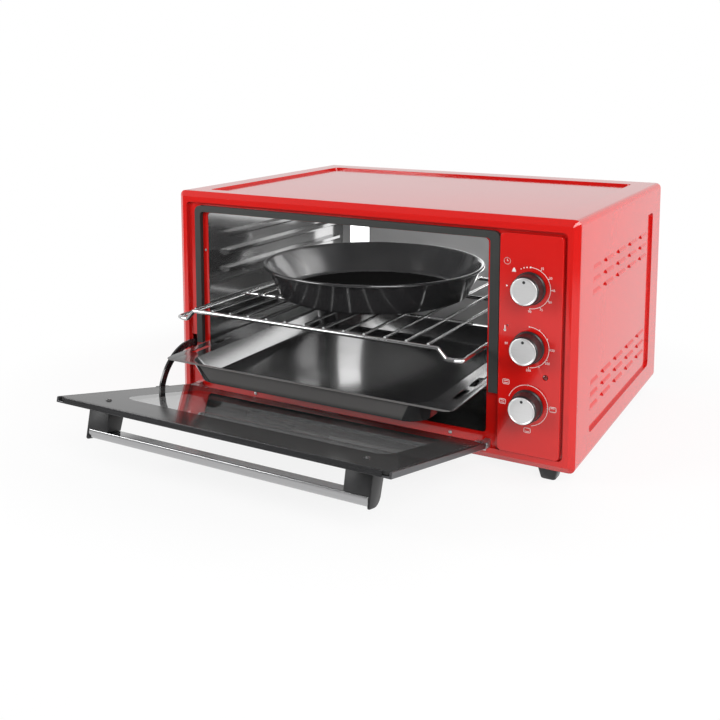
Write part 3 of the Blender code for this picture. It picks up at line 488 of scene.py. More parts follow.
@dataclass(frozen=True)
class DoorGlass(Finish):
    """Tinted glass with a printed black border round a window whose dark tint and opacity also paint the
    shade under the open door.

    The window's sizes are set by the door, which knows where its axis lies.
    """

    axis: Point
    up: Point
    left: float
    right: float
    low: float
    high: float
    corner: float
    edge_fade: float = 0.0004

    def window(self, net: Net) -> Signal:
        """The clear window's mask.

        Args:
            net: The material's node tree.

        Returns:
            1 in the window and 0 on the border.
        """
        over: list[Signal] = []
        for way, low, high in ((RIGHT, self.left, self.right), (self.up, self.low, self.high)):
            straight = (high - low) / 2 - self.corner
            over.append((abs(net.along(way, self.axis) - (low + high) / 2) - straight).highest(0.0))
        away = ((over[0] * over[0]) + (over[1] * over[1])).math("SQRT") - self.corner
        return away.ramp(-self.edge_fade, self.edge_fade, 1.0, 0.0)

    def paint(self, net: Net) -> Socket:
        """Builds the shader.

        Args:
            net: The material's node tree.

        Returns:
            The shader.
        """
        smear = net.noise(Grain(40.0, 4.0))
        border = net.principled(Base_Color=grey(0.040), Roughness=(smear * 0.08) + 0.10, IOR=1.18)
        # The window's dark colour and Alpha partly stand in for the shade under the open door (painted
        # shade).
        clear = net.principled(
            Base_Color=(0.03, 0.032, 0.033),
            Roughness=(smear * 0.03) + 0.01,
            IOR=1.8,
            Alpha=0.75,
            Coat_Weight=1.0,
            Coat_Roughness=0.01,
        )
        return net.mixed(self.window(net), border, clear)


RED = RedEnamel()

# Zinc plated steel with faint spangles.
PLATED = Spangled(
    "plated_sheet", "plated_sheet", (0.42, 0.43, 0.44), (0.58, 0.585, 0.59), Grain(160.0),
    smooth=0.32, spread=0.12, metal=0.9, relief=Grain(900.0), height=0.00002,
)

# Blackened steel of the handle's screws.
DARK_STEEL = Mottled(
    "dark_steel", "plated_sheet", grey(0.05), grey(0.09), Grain(400.0), smooth=0.18, metal=0.7
)

# Aluminised steel of the oven's bent inner sheet, with a light mill grain along its length.
CAVITY = Mottled(
    "cavity_sheet", "cavity_sheet", grey(0.60), grey(0.70), Grain(14.0, 5.0), smooth=0.16, spread=0.08,
    metal=0.70, relief=Grain(240.0, 2.0, (1.0, 0.06, 1.0)), relief_spread=0.06, height=0.000003,
)

# The cavity's side walls mirror more sharply, and are painted darker than the same sheet elsewhere as painted
# shade.
SHADED_CAVITY_WALL = replace(
    CAVITY, name="cavity_wall", dark=grey(0.28), light=grey(0.34), metal=0.92, smooth=0.05, height=0.0000006
)

# Painted shade: the cavity's floor sheet, painted nearly black.
PAINTED_FLOOR_SHADE = Mottled("floor_shade", "cavity_sheet", grey(0.0132), grey(0.022), Grain(30.0, 4.0), smooth=0.2)

# Matte silicone of the door seal.
SEAL = Mottled(
    "seal", "seal", (0.016, 0.017, 0.016), (0.024, 0.0255, 0.024), Grain(60.0, 4.0), smooth=0.5, spread=0.15,
    relief=Grain(2500.0, 2.0), height=0.00003,
)

# Moulded black plastic with a fine texture.
PLASTIC = Mottled(
    "black_plastic", "black_plastic", (0.009, 0.009, 0.0095), (0.0153, 0.0153, 0.01615), Grain(70.0, 4.0),
    smooth=0.27, spread=0.14, relief=Grain(3000.0, 2.0), height=0.000012,
)

# Steel heater sheath, tinted by heat.
HEATER = Mottled(
    "heater_tube", "heater_tube", (0.16, 0.13, 0.11), (0.36, 0.33, 0.30), Grain(30.0, 4.0, (0.4, 1.0, 1.0)),
    smooth=0.3, spread=0.2, metal=0.85,
)

# Dark lens of the pilot lamp, unlit.
LENS = Mottled(
    "lamp_lens", "lamp_lens", (0.08, 0.004, 0.003), (0.14, 0.006, 0.004), Grain(900.0, 2.0),
    smooth=0.12, spread=0.0, coat=0.6,
)

# Satin metallic strip along the door's sides.
SIDE_TRIM = Mottled(
    "grey_trim", "grey_trim", (0.09, 0.09, 0.095), (0.13, 0.13, 0.135), Grain(700.0, 3.0, (1.0, 0.03, 0.03)),
    smooth=0.24, metal=0.8,
)

# Black anodised profile of the door's edges.
BLACK_EDGE = Mottled(
    "black_trim", "black_trim", (0.010, 0.010, 0.011), (0.018, 0.018, 0.019),
    Grain(500.0, 3.0, (0.03, 1.0, 1.0)), smooth=0.22, coat=0.2,
)

# Anodised aluminium, brushed along the handle's bar.
BRUSHED = Grain(900.0, 4.0, (0.02, 1.0, 1.0))
ALLOY = Mottled(
    "handle_alloy", "handle_alloy", (0.43, 0.43, 0.435), (0.51, 0.51, 0.515), BRUSHED,
    smooth=0.15, spread=0.08, metal=1.0, relief=BRUSHED, height=0.000006,
)

# Chromed wire of the rack.
CHROME = Mottled(
    "rack_chrome", "rack_chrome", grey(0.52), grey(0.64), Grain(120.0), smooth=0.07, spread=0.06, metal=1.0
)

# Glossy black enamel of the tray, and of the pan, where it is a little lighter.
TRAY_ENAMEL = Mottled(
    "black_enamel", "black_enamel", (0.0140, 0.0140, 0.0145), (0.0252, 0.0252, 0.0261), Grain(20.0, 4.0),
    smooth=0.11, spread=0.08, relief=Grain(260.0, 2.0), height=0.000008,
    ior=1.75, coat=0.3, coat_roughness=0.08,
)
PAN_ENAMEL = replace(TRAY_ENAMEL, dark=(0.0150, 0.0150, 0.0155), light=(0.0270, 0.0270, 0.0279))

# The tray's front outside, painted a lighter grey than its black enamel: a painted reflection of the pale
# floor in front.
TRAY_FRONT_PAINTED_REFLECTION = Mottled(
    "tray_front_reflection", "black_enamel", (0.1125, 0.1089, 0.1071), (0.125, 0.121, 0.119), Grain(900.0), smooth=0.28
)

# The pan floor's non-stick coat, near black and without reflections: partly its own dark coat, partly painted
# shade.
DULL_COAT_AND_SHADE = Mottled("dull", "black_enamel", grey(0.002), grey(0.004), Grain(500.0), smooth=0.5, specular=0.0)

# Spun metal face of a knob.
SILVER = Mottled(
    "silver_face", "silver_face", grey(0.74), grey(0.84), Grain(1500.0, 3.0, (0.05, 1.0, 1.0)),
    smooth=0.32, metal=0.75,
)

# Screen printed ink, white on the panel and dark on the knobs.
WHITE_INK = Mottled(
    "white_print", None, (0.704, 0.6864, 0.6776), (0.80, 0.78, 0.77), Grain(1200.0, 2.0),
    smooth=0.45, spread=0.0,
)
DARK_INK = replace(WHITE_INK, name="dark_print", dark=(0.0176, 0.0176, 0.01936), light=(0.02, 0.02, 0.022))


# Mesh tools.


def between(start: Flat, end: Flat, share: float) -> Flat:
    """A place on the line from start to end."""
    return start[0] + (end[0] - start[0]) * share, start[1] + (end[1] - start[1]) * share


def arc(centre: Flat, size: Flat, first: float, last: float, steps: int) -> list[Flat]:
    """Places on a round or elliptic arc.

    Args:
        centre: Its centre.
        size: Its radii along the first and the second coordinate.
        first: First angle in degrees, counter-clockwise from the right.
        last: Last angle.
        steps: Segments between them.

    Returns:
        The places.
    """
    turns = [math.radians(first + (last - first) * step / steps) for step in range(steps + 1)]
    return [(centre[0] + size[0] * math.cos(turn), centre[1] + size[1] * math.sin(turn)) for turn in turns]


def rounded_outline(middle: Flat, half: Flat, radius: float, steps: int) -> list[Flat]:
    """Outline of a rectangle with round corners, counter-clockwise.

    Args:
        middle: Its centre.
        half: Half its width and half its height.
        radius: Radius of the corners.
        steps: Segments of each corner.

    Returns:
        Its points.
    """
    x = half[0] - radius
    y = half[1] - radius
    points: list[Flat] = []
    for across, upward, start in ((x, y, 0.0), (-x, y, 90.0), (-x, -y, 180.0), (x, -y, 270.0)):
        centre = (middle[0] + across, middle[1] + upward)
        points += arc(centre, (radius, radius), start, start + 90.0, steps)
    return points


def filleted(loop: Sequence[Point], radius: float, steps: int) -> list[Vector]:
    """A closed path with its corners rounded.

    Args:
        loop: Corners of the path.
        radius: Radius of the bends.
        steps: Segments of each bend.

    Returns:
        The points of the rounded path.
    """
    corners = [Vector(point) for point in loop]
    path: list[Vector] = []
    for place, corner in enumerate(corners):
        before = corners[place - 1] - corner
        after = corners[(place + 1) % len(corners)] - corner
        turn = math.pi - before.angle(after)
        cut = min(radius * math.tan(turn / 2), before.length * 0.49, after.length * 0.49)
        start = corner + before.normalized() * cut
        end = corner + after.normalized() * cut
        for step in range(steps + 1):
            share = step / steps
            path.append(start.lerp(corner, share).lerp(corner.lerp(end, share), share))
    return path


class Build:
    """A mesh in the making, with the calls that fill it."""

    def __init__(self) -> None:
        """Starts empty."""
        self.bm = bmesh.new()

    def slab(self, outline: Sequence[Flat], front: float, back: float) -> None:
        """Extrudes a flat outline from front to back and closes both ends.

        Args:
            outline: Its places in x and z.
            front: Depth of one end.
            back: Depth of the other end.
        """
        ends = []
        edges = []
        for depth in (front, back):
            verts = [self.bm.verts.new((x, depth, z)) for x, z in outline]
            edges += [self.bm.edges.new((verts[place - 1], verts[place])) for place in range(len(verts))]
            ends.append(verts)
        bmesh.ops.bridge_loops(self.bm, edges=edges)
        for verts in ends:
            self.bm.faces.new(verts)

    def spin(self, profile: Sequence[Flat], centre: Point, axis: Point, segments: int) -> None:
        """Turns a profile round an axis that it starts and ends on.

        Args:
            profile: Places of radius and height along the axis.
            centre: Where the height is 0.
            axis: Unit vector along which the height counts.
            segments: Steps of the full turn.
        """
        along = Vector(axis)
        across = along.orthogonal().normalized()
        verts = [
            self.bm.verts.new(Vector(centre) + across * radius + along * height) for radius, height in profile
        ]
        edges = [self.bm.edges.new(pair) for pair in zip(verts, verts[1:])]
        bmesh.ops.spin(
            self.bm,
            geom=verts + edges,
            cent=centre,
            axis=axis,
            angle=math.tau,
            steps=segments,
            use_merge=True,
        )
        bmesh.ops.remove_doubles(self.bm, verts=self.bm.verts, dist=1e-6)

    def object(self, name: str, finish: Finish, sharp: float = 35.0) -> bpy.types.Object:
        """Makes the object.

        Args:
            name: Name of the piece.
            finish: Its finish.
            sharp: Angle in degrees above which an edge stays sharp.

        Returns:
            The object.
        """
        bmesh.ops.recalc_face_normals(self.bm, faces=self.bm.faces)
        limit = math.radians(sharp)
        for face in self.bm.faces:
            face.smooth = True
        for edge in self.bm.edges:
            edge.smooth = not (len(edge.link_faces) == 2 and edge.calc_face_angle(0.0) > limit)
        mesh = bpy.data.meshes.new(name)
        self.bm.to_mesh(mesh)
        self.bm.free()
        piece = bpy.data.objects.new(name, mesh)
        bpy.context.scene.collection.objects.link(piece)
        mesh.materials.append(finish.material())
        return piece


def settle(
    piece: bpy.types.Object, body: Body, nodes: Sequence[str] = ()
) -> bpy.types.Object:
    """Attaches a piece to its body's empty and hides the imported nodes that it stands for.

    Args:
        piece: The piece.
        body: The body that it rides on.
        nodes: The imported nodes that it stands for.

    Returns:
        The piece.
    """
    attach(piece, body.value)
    if nodes:
        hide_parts(*nodes)
    log.info("%s rides on %s", piece.name, body.value)
    return piece


@dataclass
class Copied:
    """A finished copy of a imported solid, with its flat faces merged and its edges rounded."""

    node: str
    body: Body
    finish: Finish
    width: float
    segments: int = 2
    merged: bool = True
    weighted: bool = False
    sharp: float = 35.0
    flat: float = 1.0
    round_angle: float = 30.0
    adjust: Optional[Callable[[Vector], Vector]] = None

    def rounded(self, piece: bpy.types.Object) -> None:
        """Rounds the piece's sharp edges by a Bevel modifier.

        Args:
            piece: The copy.
        """
        bevel = piece.modifiers.new("round", "BEVEL")
        bevel.width = self.width
        bevel.segments = self.segments
        bevel.limit_method = "ANGLE"
        bevel.angle_limit = math.radians(self.round_angle)
        bevel.use_clamp_overlap = True
        bevel.harden_normals = True
        bevel.miter_outer = "MITER_ARC"

    def make(self) -> bpy.types.Object:
        """Builds the copy, which replaces the node.

        Returns:
            The copy.
        """
        build = Build()
        build.bm.from_mesh(frame["nodes"][self.node].data)
        bmesh.ops.remove_doubles(build.bm, verts=build.bm.verts, dist=2e-6)
        if self.merged:
            bmesh.ops.dissolve_limit(
                build.bm,
                angle_limit=math.radians(self.flat),
                use_dissolve_boundaries=False,
                verts=build.bm.verts,
                edges=build.bm.edges,
            )
        if self.adjust:
            for vert in build.bm.verts:
                vert.co = self.adjust(vert.co)
        piece = build.object(self.node + "_look", self.finish, self.sharp)
        if self.weighted:
            weigh = piece.modifiers.new("weigh", "WEIGHTED_NORMAL")
            weigh.keep_sharp = True
            weigh.weight = 100
        if self.width:
            self.rounded(piece)
        return settle(piece, self.body, [self.node])


def dress(names: Iterable[str], finish: Finish) -> None:
    """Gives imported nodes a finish.

    Args:
        names: The nodes.
        finish: Their finish.
    """
    for name in names:
        slots = frame["nodes"][name].data.materials
        for place in range(len(slots)):
            slots[place] = finish.material()


# Case.


@dataclass
class Case:
    """Enamelled sheet case with its back, base and feet."""

    moulded_edge: float = 0.0006
    sheet_edge: float = 0.0003
    gland_edge: float = 0.0005
    lens_edge: float = 0.0002
    crease: float = 3.0
    corner: float = 0.0160

    def crisp(self, shell: bpy.types.Object) -> None:
        """Keeps the shell's flat sheets flat beside the pressed lines, and only its long corners soft.

        Args:
            shell: The finished copy of the shell.
        """
        low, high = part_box("outer_shell")

        def on_corner(place: Vector) -> bool:
            """Whether a point lies on one of the two long rounded corners."""
            beside = place.x < low.x + self.corner or place.x > high.x - self.corner
            return beside and place.z > high.z - self.corner

        mesh = bmesh.new()
        mesh.from_mesh(shell.data)
        limit = math.radians(self.crease)
        for line in mesh.edges:
            if all(on_corner(vert.co) for vert in line.verts):
                continue
            if len(line.link_faces) == 2 and line.calc_face_angle(0.0) > limit:
                line.smooth = False
        mesh.to_mesh(shell.data)
        mesh.free()

    def make(self) -> None:
        """Builds the case."""
        self.crisp(Copied("outer_shell", Body.CASE, RED, 0.0, merged=False, weighted=True).make())
        Copied("front_frame", Body.CASE, RED, self.moulded_edge).make()
        Copied("control_panel", Body.CASE, RED, self.moulded_edge, 3).make()
        for node in ("back_panel", "base_plate"):
            Copied(node, Body.CASE, PLATED, self.sheet_edge, 1).make()
        for side in ("left", "right"):
            Copied("hinge_bearing_" + side, Body.CASE, PLATED, self.sheet_edge, 1).make()
            Copied("wall_spacer_" + side, Body.CASE, PLASTIC, self.moulded_edge).make()
            for end in ("front", "back"):
                Copied(f"foot_{end}_{side}", Body.CASE, PLASTIC, self.moulded_edge).make()
        Copied("cable_gland", Body.CASE, PLASTIC, self.gland_edge).make()
        Copied("pilot_lamp", Body.CASE, LENS, self.lens_edge).make()
        dress(["control_bulkhead", "timer_unit", "thermostat_unit", "selector_unit"], PLATED)
        dress(["rail_screw_left", "rail_screw_right", "flange_screw_left"], PLATED)


@dataclass
class Cavity:
    """The oven's inside: sheets with pressed runners, heaters, the thermostat's bulb and the seal."""

    seal_edge: float = 0.0005
    shade_level: float = 0.004
    shade_blend: float = 0.003
    wall_sharp: float = 12.0

    def make(self) -> None:
        """Builds the inside."""
        # Below this level the floor sheet is painted nearly black, as painted shade.
        level = (0.0, 0.0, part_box("cavity_wrap")[0].z + self.shade_level)
        sheet = Beyond("floor_sheet", "cavity_sheet", CAVITY, PAINTED_FLOOR_SHADE, level, DOWN, self.shade_blend)
        Copied("cavity_wrap", Body.CASE, sheet, 0.0).make()
        # The side walls take the darker copy of the sheet, which is painted shade.
        for side in ("left", "right"):
            wall = "cavity_wall_" + side
            Copied(wall, Body.CASE, SHADED_CAVITY_WALL, 0.0, merged=False, sharp=self.wall_sharp).make()
        Copied("door_seal", Body.CASE, SEAL, self.seal_edge, 3).make()
        dress(["heater_top_front", "heater_top_rear", "heater_bottom_front", "heater_bottom_rear"], HEATER)
        dress(["thermostat_bulb"], HEATER)


# Door.


@dataclass
class Door:
    """Drop-down glass door with its trims, arm and handle."""

    window_side: float = 0.0375
    window_low: float = 0.0340
    window_high: float = 0.0610
    window_corner: float = 0.0200
    glass_edge: float = 0.0003
    trim_edge: float = 0.0006
    profile_edge: float = 0.0005
    arm_edge: float = 0.0004

    def __post_init__(self) -> None:
        """Finds the door's axis and its own upward direction."""
        joints = frame["record"]["behaviour"]["joints"]
        hinge = next(joint for joint in joints if joint["name"] == "door_hinge")
        opening = math.radians(hinge["range_deg"][1])
        self.axis = Vector(hinge["pos_m"])
        self.up = Vector((0.0, -math.sin(opening), math.cos(opening)))

    def glass(self) -> DoorGlass:
        """The glass with its window set in from the door's edges.

        Returns:
            The finish.
        """
        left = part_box("door_trim_left")[0].x
        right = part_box("door_trim_right")[1].x
        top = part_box("door_top_trim")[0]
        length = Vector((0.0, top.y - self.axis.y, top.z - self.axis.z)).dot(self.up)
        return DoorGlass(
            name="door_glass",
            slot="door_glass",
            axis=tuple(self.axis),
            up=tuple(self.up),
            left=left - self.axis.x + self.window_side,
            right=right - self.axis.x - self.window_side,
            low=self.window_low,
            high=length - self.window_high,
            corner=self.window_corner,
        )

    def make(self) -> None:
        """Builds the door."""
        Copied("door_glass", Body.DOOR, self.glass(), self.glass_edge).make()
        for side in ("left", "right"):
            Copied("door_trim_" + side, Body.DOOR, SIDE_TRIM, self.trim_edge).make()
            Copied("handle_bracket_" + side, Body.DOOR, PLASTIC, self.trim_edge, 3).make()
        for node in ("door_top_trim", "door_hinge_rail"):
            Copied(node, Body.DOOR, BLACK_EDGE, self.profile_edge).make()
        Copied("hinge_arm", Body.DOOR, BLACK_EDGE, self.arm_edge).make()
        Copied("handle_bar", Body.DOOR, ALLOY, self.glass_edge).make()
        dress(["hinge_tab_left", "hinge_tab_right"], PLATED)
        dress(["handle_screw_left", "handle_screw_right"], DARK_STEEL)


# Loose pieces.


@dataclass
class Rack:
    """Chromed wire rack."""

    rail_radius: float = 0.0025
    wire_radius: float = 0.0016
    deck_rise: float = 0.0110
    step_in: float = 0.0165
    step_run: float = 0.0100
    tip_dip: float = 0.0040
    bend: float = 0.0050
    bend_steps: int = 6
    wires: int = 13
    left_inset: float = 0.0295
    right_inset: float = 0.0375
    sink: float = 0.4
    supports: tuple[float, float] = (0.32, 0.68)
    support_share: float = 0.9
    round_resolution: int = 3

    def wire(self, path: Sequence[Vector], radius: float, closed: bool) -> bpy.types.Mesh:
        """Sweeps a circle along a path.

        Args:
            path: Its points.
            radius: Radius of the wire.
            closed: Whether the path is a loop.

        Returns:
            The mesh.
        """
        data = bpy.data.curves.new("wire_path", "CURVE")
        data.dimensions = "3D"
        data.bevel_depth = radius
        data.bevel_resolution = self.round_resolution
        data.use_fill_caps = not closed
        spline = data.splines.new("POLY")
        spline.points.add(len(path) - 1)
        for point, place in zip(spline.points, path):
            point.co = (*place, 1.0)
        spline.use_cyclic_u = closed
        holder = bpy.data.objects.new("wire_path", data)
        bpy.context.scene.collection.objects.link(holder)
        graph = bpy.context.evaluated_depsgraph_get()
        mesh = bpy.data.meshes.new_from_object(holder.evaluated_get(graph))
        bpy.data.objects.remove(holder)
        bpy.data.curves.remove(data)
        return mesh

    def make(self) -> None:
        """Builds the rack."""
        low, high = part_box("wire_rack")
        left = low.x + self.rail_radius
        right = high.x - self.rail_radius
        front = low.y + self.rail_radius
        back = high.y - self.rail_radius
        rail = low.z + self.rail_radius
        deck = rail + self.deck_rise

        def corner(x: float, inward: float, y: float, toward: float) -> list[Point]:
            """The bent corner of the frame wire, from the side rail to the raised deck.

            Args:
                x: The side rail.
                inward: 1 or -1, towards the rack's middle.
                y: The front or the back rail.
                toward: 1 or -1, along the side rail.

            Returns:
                Its points.
            """
            return [
                (x, y + toward * self.tip_dip, rail),
                (x + inward * self.step_in * 0.5, y, rail),
                (x + inward * self.step_in, y, rail),
                (x + inward * (self.step_in + self.step_run), y, deck),
            ]

        loop = (
            corner(left, 1, front, 1)
            + corner(right, -1, front, 1)[::-1]
            + corner(right, -1, back, -1)
            + corner(left, 1, back, -1)[::-1]
        )
        build = Build()
        path = filleted(loop, self.bend, self.bend_steps)
        build.bm.from_mesh(self.wire(path, self.rail_radius, True))
        first = left + self.left_inset
        last = right - self.right_inset
        past = self.wire_radius * self.sink
        top = deck + self.rail_radius + past
        for number in range(self.wires):
            x = first + (last - first) * number / (self.wires - 1)
            ends = [Vector((x, front - past, top)), Vector((x, back + past, top))]
            build.bm.from_mesh(self.wire(ends, self.wire_radius, False))
        support = self.rail_radius * self.support_share
        level = deck + self.rail_radius - support
        past = self.rail_radius * 2
        for share in self.supports:
            y = front + (back - front) * share
            ends = [Vector((first - past, y, level)), Vector((last + past, y, level))]
            build.bm.from_mesh(self.wire(ends, support, False))
        settle(build.object("wire_rack_look", CHROME, 60.0), Body.RACK, ["wire_rack"])


@dataclass
class Tray:
    """Pressed baking tray with a hemmed flange and two pairs of slots."""

    side_flange: float = 0.0310
    end_flange: float = 0.0110
    front_lip: float = 0.0035
    well_corner: float = 0.0240
    slope: float = 0.0085
    sheet: float = 0.0010
    slack: float = 0.0010
    hem_edge: float = 0.0003
    reflection_blend: float = 0.0002

    def __post_init__(self) -> None:
        """Takes the tray's place from the frame."""
        self.low, self.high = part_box("baking_tray")
        # Beyond this plane the tray's front outside is painted lighter grey, a painted reflection of the
        # floor.
        out = tuple(Vector((0.0, self.low.z - self.high.z, -self.slope)).normalized())
        edge = (0.0, self.low.y + self.front_lip + self.sheet / 2, self.high.z)
        self.finish = Beyond(
            "tray_enamel", "black_enamel", TRAY_ENAMEL, TRAY_FRONT_PAINTED_REFLECTION, edge, out, self.reflection_blend
        )

    def nearer(self, place: Vector) -> Vector:
        """Moves the front of the well towards the front edge, where only a narrow lip stays.

        Args:
            place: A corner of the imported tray.

        Returns:
            Its new place.
        """
        side = self.side_flange - self.slack
        start = self.low.y + self.end_flange - self.slack
        end = self.low.y + self.end_flange + self.well_corner + self.slope + self.slack
        if self.low.x + side < place.x < self.high.x - side and start < place.y < end:
            return place - Vector((0.0, self.end_flange - self.front_lip, 0.0))
        return place

    def make(self) -> None:
        """Builds the tray."""
        Copied("baking_tray", Body.TRAY, self.finish, self.hem_edge, adjust=self.nearer).make()


@dataclass
class Pan:
    """Round pan with a rolled rim, spun from one profile."""

    slope: float = 0.0195
    sheet: float = 0.0012
    roll: float = 0.0022
    foot_round: float = 0.0070
    foot_swell: float = 1.3
    wall_rings: tuple[float, float, float] = (0.06, 0.5, 0.94)
    segments: int = 128

    def profile(self, rim: float, height: float) -> list[Flat]:
        """The sheet from the middle of the underside, round the rim, to the middle of the floor.

        Args:
            rim: Radius of the rim.
            height: The pan's height.

        Returns:
            Its radii and heights.
        """
        floor = rim - self.slope
        swell = self.foot_round * self.foot_swell
        foot = arc((floor - self.foot_round, swell), (swell, swell), -90.0, -45.0, 4)
        roll = (rim - self.roll, height - self.roll)
        outer_low = foot[-1]
        outer_high = (roll[0] - self.roll * 0.6, roll[1] - self.roll * 0.8)
        inner_high = (roll[0] - self.roll - self.sheet * 0.6, roll[1] - self.roll * 0.6)
        inner_low = (outer_low[0] - self.sheet * 0.4, outer_low[1] + self.sheet)
        return [
            (0.0, 0.0),
            *foot,
            *(between(outer_low, outer_high, share) for share in (*self.wall_rings, 1.0)),
            *arc(roll, (self.roll, self.roll), -100.0, 150.0, 8),
            *(between(inner_high, inner_low, share) for share in (0.0, *self.wall_rings, 1.0)),
            (floor - self.foot_round * 0.6, self.sheet * 1.5),
            (floor - self.foot_round * 1.4, self.sheet),
            (0.0, self.sheet),
        ]

    def make(self) -> None:
        """Builds the pan."""
        low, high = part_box("round_pan")
        rim = (high.x - low.x) / 2
        centre = ((low.x + high.x) / 2, (low.y + high.y) / 2, low.z)
        flat = rim - self.slope - self.foot_round * 0.6
        # The flat floor gets the near-black coat without reflections, partly painted shade.
        finish = OnFloor("pan_enamel", "black_enamel", PAN_ENAMEL, DULL_COAT_AND_SHADE, centre, flat)
        build = Build()
        build.spin(self.profile(rim, high.z - low.z), centre, UP, self.segments)
        settle(build.object("round_pan_look", finish, 50.0), Body.PAN, ["round_pan"])


# Controls.


@dataclass
class Dial:
    """One knob with its silver face and pointer dot, all spun from profiles."""

    name: str
    body: Body
    rim: float = 0.0012
    shoulder: float = 0.0045
    waist: float = 0.0012
    skirt: float = 0.0030
    groove: float = 0.0005
    dish: float = 0.0006
    dot_radius: float = 0.0016
    dot_share: float = 0.68
    segments: int = 128
    dot_segments: int = 32

    def seat(self, node: str) -> tuple[Point, float, float]:
        """Where a turned node of the knob stands.

        Args:
            node: Its name.

        Returns:
            The centre of its back, its radius and its depth.
        """
        low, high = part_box(node)
        centre = ((low.x + high.x) / 2, high.y, (low.z + high.z) / 2)
        return centre, (high.x - low.x) / 2, high.y - low.y

    def knob(self) -> None:
        """Black body with a skirt, a waist and a rounded shoulder."""
        node = self.name + "_knob"
        centre, radius, deep = self.seat(node)
        face_centre, inner, _ = self.seat(node + "_face")
        seat = centre[1] - face_centre[1]
        waist = radius - self.waist
        half = self.shoulder * 0.5
        shoulder = (waist - self.groove - half, deep - self.shoulder)
        turned = [
            (0.0, 0.0),
            (radius - self.groove, 0.0),
            (radius, self.groove),
            (radius, self.skirt - self.groove),
            (radius - self.groove, self.skirt),
            (waist, self.skirt + self.groove),
            *arc(shoulder, (half, self.shoulder - self.groove), 0.0, 90.0, 6),
            (inner + self.groove, deep - self.groove),
            (inner + self.groove * 0.6, seat),
            (0.0, seat),
        ]
        build = Build()
        build.spin(turned, centre, FORWARD, self.segments)
        settle(build.object(node + "_look", PLASTIC, 40.0), self.body, [node])

    def face(self) -> None:
        """Silver cap, slightly dished inside a bright rolled edge."""
        node = self.name + "_knob_face"
        centre, radius, deep = self.seat(node)
        half = self.rim * 0.5
        turned = [
            (0.0, 0.0),
            (radius, 0.0),
            *arc((radius - half, deep - self.groove), (half, self.groove), 0.0, 150.0, 7),
            (radius - self.rim * 1.5, deep - self.dish),
            (radius * 0.5, deep - self.dish),
            (0.0, deep - self.dish),
        ]
        build = Build()
        build.spin(turned, centre, FORWARD, self.segments)
        settle(build.object(self.name + "_face_look", SILVER, 25.0), self.body, [node])

    def pointer(self) -> None:
        """Dark dot near the face's top."""
        centre, radius, deep = self.seat(self.name + "_knob_face")
        spot = (centre[0], centre[1] - deep + self.dish, centre[2] + radius * self.dot_share)
        edge = self.dish * 0.3
        middle = self.dish * 0.4
        build = Build()
        profile = [(0.0, 0.0), (self.dot_radius, 0.0), (self.dot_radius, edge), (0.0, middle)]
        build.spin(profile, spot, FORWARD, self.dot_segments)
        settle(build.object(self.name + "_pointer", DARK_INK), self.body)

    def make(self) -> None:
        """Builds the knob."""
        self.knob()
        self.face()
        self.pointer()


